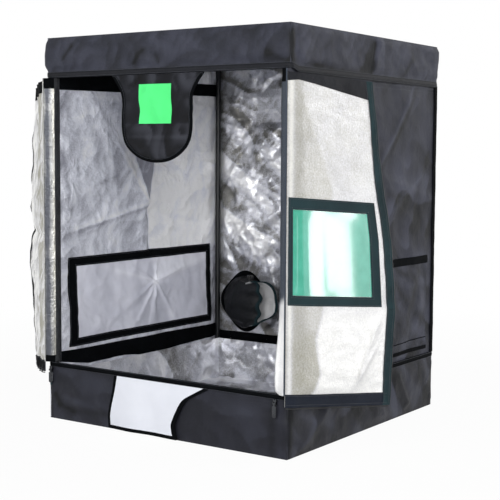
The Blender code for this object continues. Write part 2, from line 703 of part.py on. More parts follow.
def zip_slider(word, x):
    """A slider on the sill's hem with two ears, and a pull that turns on a pin between them."""
    back = FRONT - HEM_PROUD - GAP
    top = SILL_HEIGHT - SLIDER_TOP_BELOW
    low = top - SLIDER_HEIGHT
    half = SLIDER_WIDTH / 2
    centre = Vector((x, back - SLIDER_THICK / 2, (top + low) / 2))
    outline = [(-half, low), (half, low), (half, top), (half / 2, top), (0, top - half / 2), (-half / 2, top), (-half, top)]

    def place(a, b, d):
        return Vector((x + a, back - d, b))
    body = add_object(f"{word}_zip_slider", prism(outline, 0, SLIDER_THICK, place), "zip_metal", centre)
    pin_z = low + SLIDER_HEIGHT / 3
    pin_y = back - SLIDER_THICK - PULL_EYE - GAP
    ear = SLIDER_WIDTH / 5
    for sign in (-1, 1):
        near, far = sorted((sign * half, sign * (half - ear)))
        front = pin_y - PULL_EYE
        ear_shape = block((x + near, front, pin_z - PULL_EYE * 2), (x + far, back - SLIDER_THICK / 2, pin_z + PULL_EYE * 2))
        apply_boolean(body, ear_shape, "UNION")
    pin_half = half - ear - GAP
    pull_top = pin_z - PULL_EYE
    shape = round_bar((x - pin_half, pin_y, pin_z), (x + pin_half, pin_y, pin_z), PULL_EYE, PIN_SIDES)
    pivot = Vector((x, pin_y, pin_z))
    pull = add_object(f"{word}_zip_pull", shape, "zip_metal", pivot)
    neck = pin_half * PULL_NECK_share
    flat = PULL_THICK / 2
    wide = PULL_WIDTH / 2
    under = low - 4 * GAP
    outline = [(-neck, pin_z), (neck, pin_z), (neck, under), (wide, under - neck), (wide, pull_top - PULL_LENGTH + neck),
               (neck, pull_top - PULL_LENGTH), (-neck, pull_top - PULL_LENGTH), (-wide, pull_top - PULL_LENGTH + neck),
               (-wide, under - neck), (-neck, under)]

    def on_pull(a, b, d):
        return Vector((x + a, pin_y + d, b))
    apply_boolean(pull, prism(outline, -flat, flat, on_pull), "UNION")


def wavy_ring(centre, direction, radius, ripple, turn=0):
    across, upward = frame_of(direction)
    ring = []
    for i in range(PORT_SIDES):
        t = 2 * math.pi * i / PORT_SIDES
        r = radius + ripple * math.sin(SLEEVE_RIPPLES * t + turn)
        ring.append(centre + (across * math.cos(t) + upward * math.sin(t)) * r)
    return ring


def duct_sleeve(name, centre, outward, reach, mouth_radius):
    """A cloth sleeve sewn to the wall by a flange; it bends from the port towards its mouth."""
    reach = Vector(reach)
    base = centre + outward * GAP
    mouth_way = (outward * SLEEVE_STRAIGHT_share + reach.normalized()).normalized()
    outer, inner = [], []
    for k in range(SLEEVE_STEPS + 1):
        t = k / SLEEVE_STEPS
        along = outward * (reach.length * SLEEVE_STRAIGHT_share * 2 * t * (1 - t))
        middle = base + reach * t + along + outward * SKIN * (1 - t)
        way = (outward * (1 - t) + mouth_way * t).normalized()
        radius = PORT_RADIUS * (1 - t) + mouth_radius * t
        ripple = SLEEVE_RIPPLE * math.sin(math.pi * t)
        outer.append(wavy_ring(middle, way, radius, ripple, t))
        inner.append(wavy_ring(middle, way, radius - SLEEVE_WALL, ripple, t))
    flat = wavy_ring(base, outward, PORT_RADIUS - SLEEVE_WALL, 0)
    flange = [wavy_ring(base, outward, PORT_RADIUS + PORT_FLANGE, 0),
              wavy_ring(base + outward * SKIN, outward, PORT_RADIUS + PORT_FLANGE, 0)]
    add_object(name, ring_loop([flat] + flange + outer + list(reversed(inner))[:-1]), "black_cloth", smooth=True)
    return outer


def u_cord(name, start, way, across, run):
    """A drawcord's loop: out along one strand, round, and back along the other."""
    half = CORD_SPREAD / 2
    runs = spaced(0, run, CORD_STEPS)[:-1]
    turns = spaced(0, math.pi, CORD_TURN_STEPS)
    straight = [start + across * half + way * r for r in runs]
    turn = [start + way * (run + half * math.sin(a)) + across * (half * math.cos(a)) for a in turns]
    back = [start - across * half + way * r for r in reversed(runs)]
    points = straight + turn + back
    curve = bpy.data.curves.new(name, "CURVE")
    curve.dimensions = "3D"
    curve.bevel_depth = CORD_RADIUS
    curve.bevel_resolution = 2
    curve.use_fill_caps = True
    line = curve.splines.new("POLY")
    line.points.add(len(points) - 1)
    for spot, point in zip(line.points, points):
        spot.co = (*point, 1)
    curve.materials.append(finish_material("black_cord"))
    item = bpy.data.objects.new(name, curve)
    bpy.context.collection.objects.link(item)


def cord_lock(name, start, way, across):
    """A lock that slides on both strands of the drawcord."""
    square = way.cross(across).normalized()
    middle = start + way * LOCK_AT
    low, high = -LOCK_LENGTH / 2, LOCK_LENGTH / 2
    bevel = LOCK_THICK / 4
    w, h = LOCK_WIDTH / 2, LOCK_THICK / 2
    outline = [(-w + bevel, -h), (w - bevel, -h), (w, -h + bevel), (w, h - bevel), (w - bevel, h), (-w + bevel, h),
               (-w, h - bevel), (-w, -h + bevel)]

    def place(a, b, d):
        return middle + across * a + square * b + way * d
    item = add_object(name, prism(outline, low, high, place), "black_plastic", middle)
    reach = LOCK_LENGTH
    for sign in (-1, 1):
        centre = middle + across * (sign * CORD_SPREAD / 2)
        bore = round_bar(centre - way * reach, centre + way * reach, CORD_RADIUS + LOCK_CORD_CLEARANCE, SOCKET_SIDES)
        apply_boolean(item, bore, "DIFFERENCE")


def duct_ports():
    """Intake sleeve inside at the lower left of the back wall, exhaust sleeve outside at its upper right."""
    centre = Vector((INTAKE_X, BACK - SKIN, INTAKE_Z))
    rings = duct_sleeve("intake_sleeve", centre, Vector((0, -1, 0)), INTAKE_REACH, INTAKE_MOUTH_RADIUS)
    tops = [max(ring, key=lambda p: p.z) for ring in rings[SLEEVE_STEPS // 2:]]
    way = (tops[0] - tops[-1]).normalized()
    across = way.cross(Vector((0, 0, 1))).normalized()
    square = across.cross(way)
    crest = max((p - tops[-1]).dot(square) for p in tops)
    start = tops[-1] + square * (crest + LOCK_THICK / 2 + GAP)
    u_cord("intake_drawcord", start, way, across, CORD_RUN)
    cord_lock("intake_cord_lock", start, way, across)

    centre = Vector((EXHAUST_X, BACK, EXHAUST_Z))
    rings = duct_sleeve("exhaust_sleeve", centre, Vector((0, 1, 0)), EXHAUST_REACH, EXHAUST_MOUTH_RADIUS)
    start = min(rings[-1], key=lambda p: p.z) - Vector((0, 0, GAP))
    u_cord("exhaust_drawcord", start, Vector((0, 0, -1)), Vector((1, 0, 0)), CORD_RUN)
    cord_lock("exhaust_cord_lock", start, Vector((0, 0, -1)), Vector((1, 0, 0)))


def build_tent():
    clear_scene()
    build_frame()
    hanging_bar("hanging_bar_front", -BAR_SPREAD / 2)
    hanging_bar("hanging_bar_back", BAR_SPREAD / 2)
    flat_panels()
    front_panels()
    side_wall("left_wall", -1)
    side_wall("right_wall", 1)
    back_wall()
    floor_tray()
    vent_window(-1, "left")
    vent_window(1, "right")
    door_binding("left_door_binding", -1)
    door_binding("right_door_binding", 1)
    door_leaves()
    upper_flap()
    lower_flap()
    zip_slider("right", RIGHT_SLIDER_X)
    zip_slider("left", LEFT_SLIDER_X)
    duct_ports()


build_tent()
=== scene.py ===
# %% [markdown]
# # An indoor grow tent with its doors folded back
# The real tent is a box of steel tubes with a cover of black cloth, lined with silver film.
# This lesson dresses the tubes with that cover. Each cloth becomes a thin closed sheet with
# real folds, because a flat plate with a picture of folds on it looks wrong from the side. Much
# of the folds' light and shade is painted into the cloth's colours as well.

# %% Load the imported frame
import json
import math

import bpy
import numpy as np
from mathutils import Matrix, Vector

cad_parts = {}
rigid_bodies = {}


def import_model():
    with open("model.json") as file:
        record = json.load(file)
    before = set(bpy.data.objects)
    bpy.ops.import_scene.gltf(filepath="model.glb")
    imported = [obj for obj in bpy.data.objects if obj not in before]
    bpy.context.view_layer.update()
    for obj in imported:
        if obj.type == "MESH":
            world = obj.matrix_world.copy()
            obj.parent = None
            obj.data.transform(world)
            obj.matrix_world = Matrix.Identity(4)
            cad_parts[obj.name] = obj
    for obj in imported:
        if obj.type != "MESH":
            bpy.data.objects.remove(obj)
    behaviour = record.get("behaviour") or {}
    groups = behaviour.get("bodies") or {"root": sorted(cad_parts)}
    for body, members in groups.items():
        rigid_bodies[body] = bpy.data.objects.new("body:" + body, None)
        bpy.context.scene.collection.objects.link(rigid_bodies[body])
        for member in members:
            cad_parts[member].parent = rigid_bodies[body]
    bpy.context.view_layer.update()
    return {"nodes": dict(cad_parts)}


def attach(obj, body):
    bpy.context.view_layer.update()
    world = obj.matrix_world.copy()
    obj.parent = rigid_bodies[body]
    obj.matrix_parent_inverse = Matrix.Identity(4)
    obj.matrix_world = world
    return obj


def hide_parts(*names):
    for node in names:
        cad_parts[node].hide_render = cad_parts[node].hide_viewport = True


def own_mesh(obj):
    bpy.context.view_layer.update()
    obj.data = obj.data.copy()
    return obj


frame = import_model()

# %% [markdown]
# ## The camera
# The photograph was taken from the right of the doorway, a little above the middle of the tent.
# The place and the turn of the camera were found by fitting the tent's corners, and are kept
# here as a point, three angles and a focal length.

# %% Camera
CAMERA_AT = Vector((1.81149, -2.61509, 0.70884))
CAMERA_YAW, CAMERA_PITCH, CAMERA_ROLL = (math.radians(a) for a in (34.5687, 4.7777, 0.3487))
SENSOR = 36.0
FOCAL = 84.516

ahead = Vector((-math.sin(CAMERA_YAW) * math.cos(CAMERA_PITCH),
                math.cos(CAMERA_YAW) * math.cos(CAMERA_PITCH), -math.sin(CAMERA_PITCH)))
level = Vector((math.cos(CAMERA_YAW), math.sin(CAMERA_YAW), 0))
above = level.cross(ahead)
right = level * math.cos(CAMERA_ROLL) + above * math.sin(CAMERA_ROLL)
upward = above * math.cos(CAMERA_ROLL) - level * math.sin(CAMERA_ROLL)
lens = bpy.data.cameras.new("camera")
lens.sensor_width, lens.lens = SENSOR, FOCAL
camera = bpy.data.objects.new("camera", lens)
bpy.context.scene.collection.objects.link(camera)
turn = Matrix((right, upward, -ahead)).transposed().to_4x4()
camera.matrix_world = Matrix.Translation(CAMERA_AT) @ turn
bpy.context.scene.camera = camera
print("camera looks along", [round(a, 3) for a in ahead])

# %% [markdown]
# ## Light and floor
# A studio has a white floor and soft lamps. The key lamp stands behind the camera's right
# shoulder and shines into the doorway. A tall narrow lamp at the right makes the glare on the
# window. A beige card beside it, which the camera itself doesn't see, gives the shiny lining
# something darker to mirror.

# %% Helpers for nodes
def add(tree, kind, ins=None, **settings):
    """A node with its settings, and its inputs filled with values or linked to sockets."""
    made = tree.nodes.new(kind)
    for key, value in settings.items():
        setattr(made, key, value)
    for key, value in (ins or {}).items():
        if isinstance(value, bpy.types.NodeSocket):
            tree.links.new(value, made.inputs[key])
        else:
            made.inputs[key].default_value = value
    return made


def sums(tree, operation, a, b=0.0):
    return add(tree, "ShaderNodeMath", {0: a, 1: b}, operation=operation).outputs[0]


def seen_by(tree):
    """1 for rays that the camera, a mirror or a glass sends out, and 0 for the light's own."""
    ray = add(tree, "ShaderNodeLightPath").outputs
    either = sums(tree, "MAXIMUM", ray["Is Camera Ray"], ray["Is Glossy Ray"])
    return sums(tree, "MAXIMUM", either, ray["Is Transmission Ray"])


def object_place(tree):
    return add(tree, "ShaderNodeTexCoord").outputs["Object"]


def new_finish(name):
    made = bpy.data.materials.new(name)
    made.use_nodes = True
    return made, made.node_tree, made.node_tree.nodes["Principled BSDF"]


def set_inputs(shader, **values):
    """Fixed values of a shader, with _ for a space in an input's name."""
    for key, value in values.items():
        shader.inputs[key.replace("_", " ")].default_value = value


def show(tree, share, first, second, output="Material Output"):
    """Ends a tree: the second shader shows by the share, and the first for the rest."""
    mixed = add(tree, "ShaderNodeMixShader", {0: share, 1: first.outputs[0], 2: second.outputs[0]})
    tree.links.new(mixed.outputs[0], tree.nodes[output].inputs["Surface"])


def to_scene(item):
    bpy.context.scene.collection.objects.link(item)
    return item


# %% Floor, sky and lamps
SKY_COLOUR, SKY_LIGHT = (0.96, 0.97, 1.0, 1), 0.34
WHITE = (1, 1, 1, 1)
FLOOR_COLOUR = (0.86, 0.86, 0.86, 1)
FLOOR_REACH = 14.0
WHITER_FROM, WHITER_TO = 0.9, 2.4
FLOOR_NEAR, FLOOR_FAR = 0.955, 1.0
CARD_COLOUR, CARD_LIGHT = (0.46, 0.44, 0.36, 1), 0.9
CARD_CORNERS = [(2.4, -1.45, 0.05), (2.5, 0.12, 0.05), (2.5, 0.12, 2.2), (2.4, -1.45, 2.2)]

sky = bpy.data.worlds.new("studio")
bpy.context.scene.world = sky
sky.use_nodes = True
tree = sky.node_tree
plain = tree.nodes["Background"]
set_inputs(plain, Color=SKY_COLOUR, Strength=SKY_LIGHT)
white = add(tree, "ShaderNodeBackground", {"Color": WHITE, "Strength": 1.0})
show(tree, seen_by(tree), plain, white, "World Output")


def stage_plane(name, corners, paint):
    mesh = bpy.data.meshes.new(name)
    mesh.from_pydata(corners, [], [(0, 1, 2, 3)])
    mesh.materials.append(paint)
    to_scene(bpy.data.objects.new(name, mesh))


floor_white, tree, shader = new_finish("floor_white")
set_inputs(shader, Base_Color=FLOOR_COLOUR, Roughness=0.9)
far = add(tree, "ShaderNodeVectorMath", {0: object_place(tree)}, operation="LENGTH").outputs["Value"]
whiteness = add(tree, "ShaderNodeMapRange", {"Value": far, "From Min": WHITER_FROM, "From Max": WHITER_TO,
                                             "To Min": FLOOR_NEAR, "To Max": FLOOR_FAR}).outputs[0]
glow = add(tree, "ShaderNodeEmission", {"Color": WHITE, "Strength": 1.0})
show(tree, sums(tree, "MULTIPLY", seen_by(tree), whiteness), shader, glow)
half = FLOOR_REACH / 2
stage_plane("studio_floor", [(-half, -half, 0), (half, -half, 0), (half, half, 0), (-half, half, 0)], floor_white)

card_beige, tree, shader = new_finish("card_beige")
set_inputs(shader, Base_Color=(0, 0, 0, 1), Specular_IOR_Level=0, Emission_Color=CARD_COLOUR,
           Emission_Strength=CARD_LIGHT)
show(tree, add(tree, "ShaderNodeLightPath").outputs["Is Camera Ray"], shader,
     add(tree, "ShaderNodeBsdfTransparent"))
stage_plane("studio_card", CARD_CORNERS, card_beige)


def lamp(name, place, aim, size, power):
    """A soft rectangular lamp that looks at a point."""
    data = bpy.data.lights.new(name, "AREA")
    data.shape, data.size, data.size_y, data.energy = "RECTANGLE", size[0], size[1], power
    item = to_scene(bpy.data.objects.new(name, data))
    item.location = place
    item.rotation_euler = (Vector(aim) - Vector(place)).to_track_quat("-Z", "Y").to_euler()


lamp("key_lamp", (2.9, -3.3, 1.40), (-0.1, 0.0, 0.5), (1.4, 1.4), 122)
lamp("fill_lamp", (-0.6, -3.9, 1.5), (0.0, 0.0, 0.5), (1.8, 1.6), 36)
lamp("window_lamp", (2.5, 1.17, 0.29), (0.42, -0.2, 0.47), (0.38, 0.56), 3.3)
lamp("back_lamp", (2.4, 2.4, 2.0), (0.2, 0.1, 0.6), (1.4, 1.4), 24)

# %% [markdown]
# ## Finishes
# The cover is a woven nylon, black outside and silver inside. Close up it is a plain weave, and
# further off it shows small wrinkles. A finish here has a colour that drifts a little, a weave
# that follows the cloth's own map in metres, and wrinkles from noise in object space. Where a
# piece carries painted shade, the colour moves towards a darker one, its shade, or a paler one,
# its light: that is how the light and shade of the film's old folds are painted as facets.

# %% Cloth finishes
RIDGED = "RIDGED_MULTIFRACTAL"


def thread_height(tree, pitch, ribs=False):
    """Height of a plain weave, or of ribs across a tape, on the cloth's own map."""
    on_map = add(tree, "ShaderNodeUVMap", uv_map="cloth").outputs[0]
    parts = add(tree, "ShaderNodeSeparateXYZ", {0: on_map}).outputs
    turns = 2 * math.pi / pitch
    along = sums(tree, "SINE", sums(tree, "MULTIPLY", parts[0], turns))
    if ribs:
        return along
    return sums(tree, "MULTIPLY", along, sums(tree, "SINE", sums(tree, "MULTIPLY", parts[1], turns)))


def wrinkle_height(tree, size, kind="FBM", detail=4.0, twist=0.4):
    """Soft noise, or ridged noise with crisp crests, of a size in metres."""
    values = {"Vector": object_place(tree), "Scale": 1 / size, "Detail": detail, "Roughness": 0.55,
              "Distortion": twist}
    if kind == RIDGED:
        values.update({"Offset": 1.0, "Gain": 1.6, "Detail": 3.0})
    return add(tree, "ShaderNodeTexNoise", values, noise_type=kind).outputs[0]


def pebble_height(tree, size):
    values = {"Vector": object_place(tree), "Scale": 1 / size}
    return add(tree, "ShaderNodeTexVoronoi", values, feature="SMOOTH_F1").outputs["Distance"]


def bumps(tree, shader, heights):
    """Stacks bumps on each other; each is a height socket and its depth in metres."""
    normal = None
    for height, depth in heights:
        made = add(tree, "ShaderNodeBump", {"Height": height, "Distance": depth, "Strength": 1.0})
        if normal:
            tree.links.new(normal, made.inputs["Normal"])
        normal = made.outputs["Normal"]
    tree.links.new(normal, shader.inputs["Normal"])


def blend(tree, share, first, second):
    return add(tree, "ShaderNodeMix", {0: share, 6: first, 7: second}, data_type="RGBA").outputs[2]


def paint_shade_and_tint(tree, colour, shade, light, grain):
    """Paints light and shade into a colour: moves it towards shade where the cloth's painted shade is
    above 0, and towards light where it is below. grain adds a fine painted sparkle, as of a
    pebbled film."""
    painted_shade_and_tint = add(tree, "ShaderNodeAttribute", attribute_name="painted_shade_and_tint").outputs["Fac"]
    if grain:
        speck = sums(tree, "SUBTRACT", wrinkle_height(tree, 0.0042, detail=2.0), 0.5)
        painted_shade_and_tint = sums(tree, "ADD", painted_shade_and_tint, sums(tree, "MULTIPLY", speck, grain * 4))
    darker = blend(tree, painted_shade_and_tint, colour, (*shade, 1))
    return blend(tree, sums(tree, "MULTIPLY", painted_shade_and_tint, -1.0), darker, (*light, 1))


def drift(tree, shader, colour, other, size, shade=None, light=None, grain=0.0):
    """A base colour that wanders slowly between two values."""
    noise = wrinkle_height(tree, size, detail=3.0)
    share = add(tree, "ShaderNodeMapRange", {"Value": noise, "From Min": 0.35, "From Max": 0.65}).outputs[0]
    mixed = blend(tree, share, (*colour, 1), (*other, 1))
    end = paint_shade_and_tint(tree, mixed, shade, light, grain) if shade else mixed
    tree.links.new(end, shader.inputs["Base Color"])


def finish(name, colour, other, roughness, metallic=0.0, weave=None, wrinkles=(), pebbles=None, ribs=False,
           shade=None, light=None, grain=0.0, **constants):
    """A cloth-like finish. weave and pebbles are (size, depth), and so is each of the wrinkles,
    with RIDGED behind it for crisp crests."""
    made, tree, shader = new_finish(name)
    drift(tree, shader, colour, other, 0.09, shade, light, grain)
    set_inputs(shader, Metallic=metallic, Roughness=roughness, **constants)
    heights = [(wrinkle_height(tree, size, *kind), depth) for size, depth, *kind in wrinkles]
    if pebbles:
        heights.append((pebble_height(tree, pebbles[0]), pebbles[1]))
    if weave:
        heights.append((thread_height(tree, weave[0], ribs), weave[1]))
    bumps(tree, shader, heights)
    return made


NYLON, LINING_WEAVE, WEBBING = (0.0011, 0.00006), (0.0022, 0.00008), (0.0016, 0.00012)
black_cloth = finish("black_cloth", (0.022, 0.024, 0.035), (0.031, 0.033, 0.048), 0.55, weave=NYLON,
                     wrinkles=((0.060, 0.0055), (0.022, 0.0016)), Specular_IOR_Level=0.20,
                     shade=(0.003, 0.0035, 0.005), light=(0.060, 0.064, 0.090), grain=0.10)
# A darker copy of the black cloth for the band round the base: painted shade, as less light reaches it low down.
shaded_sill_cloth = finish("shaded_sill_cloth", (0.012, 0.0125, 0.018), (0.018, 0.019, 0.027), 0.48, weave=NYLON,
                    wrinkles=((0.075, 0.0050),), Specular_IOR_Level=0.15,
                    shade=(0.003, 0.0035, 0.005), light=(0.046, 0.050, 0.070))
hem_cloth = finish("hem_cloth", (0.0060, 0.0065, 0.0090), (0.0095, 0.0105, 0.0145), 0.50, weave=NYLON,
                   wrinkles=((0.040, 0.0020),), Specular_IOR_Level=0.15)
flap_cloth = finish("flap_cloth", (0.0055, 0.0060, 0.0085), (0.0100, 0.0110, 0.0150), 0.50, weave=NYLON,
                    wrinkles=((0.060, 0.0030),), Specular_IOR_Level=0.12,
                    shade=(0.001, 0.001, 0.0015), light=(0.036, 0.038, 0.048))


def tape_finish(name, colour, other, roughness, specular, depth=WEBBING[1], wrinkle=(0.020, 0.0007)):
    """Woven tape, with ribs across it."""
    return finish(name, colour, other, roughness, weave=(WEBBING[0], depth), wrinkles=(wrinkle,), ribs=True,
                  Specular_IOR_Level=specular)


black_tape = tape_finish("black_tape", (0.0016, 0.0020, 0.0026), (0.0030, 0.0036, 0.0045), 0.70, 0.03)
jamb_tape = tape_finish("jamb_tape", (0.012, 0.013, 0.016), (0.018, 0.020, 0.024), 0.45, 0.30, 0.00010,
                        (0.030, 0.0010))
dark_tape = tape_finish("dark_tape", (0.008, 0.022, 0.027), (0.011, 0.031, 0.037), 0.60, 0.15)
navy_tape = tape_finish("navy_tape", (0.006, 0.009, 0.017), (0.009, 0.013, 0.024), 0.60, 0.15)
satin_lining = finish("satin_lining", (0.76, 0.78, 0.86), (0.84, 0.86, 0.94), 0.42, 0.32, LINING_WEAVE,
                      ((0.040, 0.0040), (0.110, 0.0042, RIDGED)), (0.0032, 0.00040),
                      shade=(0.33, 0.335, 0.39), light=(1.0, 1.0, 1.0), grain=0.22)
# Its beige shade colour is a painted reflection of the beige card.
leaf_lining = finish("leaf_lining", (0.60, 0.60, 0.62), (0.66, 0.66, 0.67), 0.36, 0.75, (0.0022, 0.00006),
                     ((0.050, 0.0016), (0.012, 0.0006)), (0.0034, 0.00060),
                     shade=(0.36, 0.35, 0.29), light=(0.92, 0.92, 0.90), grain=0.30)
crinkled_foil = finish("crinkled_foil", (0.68, 0.69, 0.74), (0.78, 0.79, 0.85), 0.30, 0.66, None,
                       ((0.200, 0.0030, RIDGED), (0.035, 0.0010)), (0.0036, 0.00040),
                       shade=(0.23, 0.225, 0.21), light=(1.0, 1.0, 1.0), grain=0.35)
# A darker copy of the silver lining, for the left binding and its piping: painted shade.
shaded_lining = finish("shaded_lining", (0.30, 0.30, 0.29), (0.42, 0.42, 0.41), 0.38, 0.60, None,
                    ((0.012, 0.0030),), (0.0034, 0.00040), shade=(0.08, 0.085, 0.10), light=(0.62, 0.61, 0.54))
flap_lining = finish("flap_lining", (0.73, 0.75, 0.81), (0.77, 0.79, 0.85), 0.50, 0.05, (0.0016, 0.00008),
                     ((0.060, 0.0012),), Specular_IOR_Level=0.3)
sleeve_cloth = finish("sleeve_cloth", (0.004, 0.005, 0.006), (0.007, 0.008, 0.010), 0.45, weave=NYLON,
                      wrinkles=((0.030, 0.0030),), Specular_IOR_Level=0.25)
# Its shade colour is the colour of the binding's own dark side.
jamb_lining = finish("jamb_lining", (0.60, 0.60, 0.61), (0.68, 0.68, 0.68), 0.38, 0.40, (0.0016, 0.00010),
                     ((0.020, 0.0016),), (0.0034, 0.00040), shade=(0.035, 0.045, 0.062), light=(0.98, 0.98, 0.97))
slate_tape = tape_finish("slate_tape", (0.035, 0.045, 0.062), (0.060, 0.072, 0.095), 0.60, 0.10,
                         wrinkle=(0.020, 0.0010))
grey_lining = finish("grey_lining", (0.52, 0.52, 0.52), (0.66, 0.66, 0.66), 0.45, 0.2, LINING_WEAVE,
                     ((0.030, 0.0040),))
mesh_cloth = finish("mesh_cloth", (0.68, 0.69, 0.78), (0.78, 0.79, 0.88), 0.60, 0.0, (0.0014, 0.00018),
                    ((0.060, 0.0030),), Specular_IOR_Level=0.3,
                    shade=(0.44, 0.45, 0.52), light=(0.92, 0.93, 1.0))
patch_cloth = finish("patch_cloth", (0.085, 0.80, 0.215), (0.095, 0.86, 0.235), 0.55, 0.0, (0.0009, 0.00006),
                     ((0.030, 0.0008),), Specular_IOR_Level=0.2)
print("cloth finishes:", len(bpy.data.materials))

# %% [markdown]
# Steel tubes have a powder coat with a fine orange-peel skin, connectors and cord locks are
# moulded plastic, the zip is nickel-plated, and the window is a soft green film.

# %% Hard finishes
def hard_finish(name, colour, other, roughness, metallic, grain, **constants):
    """A finish with a fine grain, (size, depth), and a gloss that wanders a fifth either way."""
    made, tree, shader = new_finish(name)
    drift(tree, shader, colour, other, 0.04)
    wear = add(tree, "ShaderNodeMapRange", {"Value": wrinkle_height(tree, 0.012), "To Min": roughness * 0.8,
                                            "To Max": roughness * 1.2}).outputs[0]
    tree.links.new(wear, shader.inputs["Roughness"])
    set_inputs(shader, Metallic=metallic, **constants)
    bumps(tree, shader, [(wrinkle_height(tree, grain[0]), grain[1])])
    return made


powder_coat = hard_finish("powder_coat", (0.005, 0.006, 0.007), (0.009, 0.010, 0.012), 0.34, 0.0,
                          (0.0016, 0.00008), Specular_IOR_Level=0.35)
moulded_plastic = hard_finish("moulded_plastic", (0.006, 0.006, 0.007), (0.010, 0.010, 0.011), 0.45, 0.0,
                              (0.0009, 0.00005), Specular_IOR_Level=0.3)
zip_nickel = hard_finish("zip_nickel", (0.045, 0.047, 0.052), (0.075, 0.078, 0.085), 0.28, 1.0, (0.0030, 0.00003))
zip_teeth = hard_finish("zip_teeth", (0.012, 0.013, 0.014), (0.020, 0.021, 0.023), 0.35, 0.0, (0.0010, 0.00003))
braided_cord = hard_finish("braided_cord", (0.014, 0.014, 0.015), (0.024, 0.024, 0.026), 0.75, 0.0,
                           (0.0007, 0.00012))
green_film = hard_finish("green_film", (0.020, 0.36, 0.25), (0.040, 0.42, 0.30), 0.30, 0.0, (0.085, 0.0004),
                         Specular_IOR_Level=0.1, Coat_Weight=1.0, Coat_Roughness=0.10, Coat_IOR=2.3)
thread_grey = hard_finish("thread_grey", (0.045, 0.050, 0.060), (0.065, 0.070, 0.085), 0.6, 0.0,
                          (0.0007, 0.00004))

NODE_FINISHES = {"upright": powder_coat, "rail": powder_coat, "bar": powder_coat, "corner": moulded_plastic,
                 "lock": moulded_plastic, "zip_slider": zip_nickel, "zip_pull": zip_nickel}
for name, item in frame["nodes"].items():
    for word, paint in NODE_FINISHES.items():
        if word in name and "flap" not in name:
            for spot in item.material_slots:
                spot.material = paint
print("tube and zip nodes keep their own shapes")

# %% [markdown]
# ## Folds
# A cover never hangs quite flat. Broad swells come from smooth noise, crinkled film from ridged
# noise, and the long creases where the cloth was folded in its box are drawn one by one: a crest
# or a valley along a line, steeper on one side than on the other. The same creases, and the
# slopes of crumpled film, are also used to paint light and shade into the colours.

# %% Noise and creases
def noise(x, y, seed):
    """Smooth noise from -1 to 1 on arrays of places, the same each time for the same seed."""
    ix, iy = np.floor(x).astype(np.int64), np.floor(y).astype(np.int64)

    def slope(cx, cy):
        mixed = (cx * 73856093) ^ (cy * 19349663) ^ (seed * 83492791)
        mixed = ((mixed ^ (mixed >> 13)) * 1274126177) & 0xFFFFFFFF
        angle = ((mixed ^ (mixed >> 15)) & 0xFFFF) / 0xFFFF * 2 * math.pi
        return np.cos(angle) * (x - cx) + np.sin(angle) * (y - cy)

    def fade(t):
        return t * t * t * (t * (t * 6 - 15) + 10)

    sx, sy = fade(x - ix), fade(y - iy)
    low = slope(ix, iy) * (1 - sx) + slope(ix + 1, iy) * sx
    high = slope(ix, iy + 1) * (1 - sx) + slope(ix + 1, iy + 1) * sx
    return 1.4 * (low * (1 - sy) + high * sy)


def folds(x, y, size, seed, octaves=2):
    """Soft swells of a size in metres."""
    return sum(noise(x / size * 2 ** k, y / size * 2 ** k, seed + k) * 0.5 ** k for k in range(octaves))


def crumple(x, y, size, seed, octaves=3):
    """Ridged noise: flat facets that meet in sharp creases."""
    return sum((0.5 - 2 * np.abs(noise(x / size * 2 ** k, y / size * 2 ** k, seed + k))) * 0.5 ** k
               for k in range(octaves))


def slope_shading(x, y, size, seed, octaves=3, way=(0.6, 0.8)):
    """How steeply crumpled film rises along one way, used to paint light and shade: its facets are
    painted as if they catch the light or turn from it.
    """
    step = 0.0012
    ahead = crumple(x + way[0] * step, y + way[1] * step, size, seed, octaves)
    behind = crumple(x - way[0] * step, y - way[1] * step, size, seed, octaves)
    return np.clip((ahead - behind) * size / (8 * step), -1, 1)


def ramp(t):
    """0 up to t = 0, 1 from t = 1, and a smooth rise between."""
    t = np.clip(t, 0, 1)
    return t * t * (3 - 2 * t)


def mound(x, middle, spread):
    """A smooth bell, 1 at its middle."""
    return np.exp(-((x - middle) / spread) ** 2)


CREASE_ROUND = 0.0025


def crease(x, y, start, end, height, left, right):
    """A crest, or a valley if height is negative, from start to end. left and right are how far it
    reaches on either side."""
    start, end = np.array(start), np.array(end)
    along = end - start
    length = np.hypot(*along)
    along = along / length
    dx, dy = x - start[0], y - start[1]
    t = (dx * along[0] + dy * along[1]) / length
    side = dx * -along[1] + dy * along[0]
    reach = np.where(side > 0, left, right)
    ends = ramp((t + 0.25) / 0.25) * ramp((1.25 - t) / 0.25)
    return height * np.exp(-(np.hypot(side, CREASE_ROUND) - CREASE_ROUND) / reach) * ends


def creases(x, y, table):
    """All creases of a table, whose rows are start, end, height, left and right."""
    return sum(crease(x, y, *row) for row in table)


def inside(x, y, box, margin):
    """1 in the middle of a box (x0, x1, y0, y1), falling to 0 at its edges."""
    return (ramp((x - box[0]) / margin) * ramp((box[1] - x) / margin)
            * ramp((y - box[2]) / margin) * ramp((box[3] - y) / margin))


def steps(low, high, size, extra=()):
    """Even grid values from low to high, with the extra ones put in place of their nearest."""
    values = list(np.linspace(low, high, max(2, round((high - low) / size) + 1)))
    for value in extra:
        if low < value < high:
            nearest = min(range(1, len(values) - 1), key=lambda i: abs(values[i] - value))
            values[nearest] = value
    return np.array(sorted(values))


def through(*points):
    """A line through (place, value) points, for an edge that wanders."""
    xs, ys = zip(*points)
    return lambda U: np.interp(U, xs, ys)


print("noise at one place:", float(noise(np.array([0.3]), np.array([0.7]), 1)[0]))

# %% [markdown]
# ## One builder for every cloth
# A sheet is a grid of points with two faces a cloth's thickness apart, closed along its edges
# and round its holes. Its map is in metres, so that the weave has the same size everywhere.

# %% Sheet builder
SKIN = 0.001


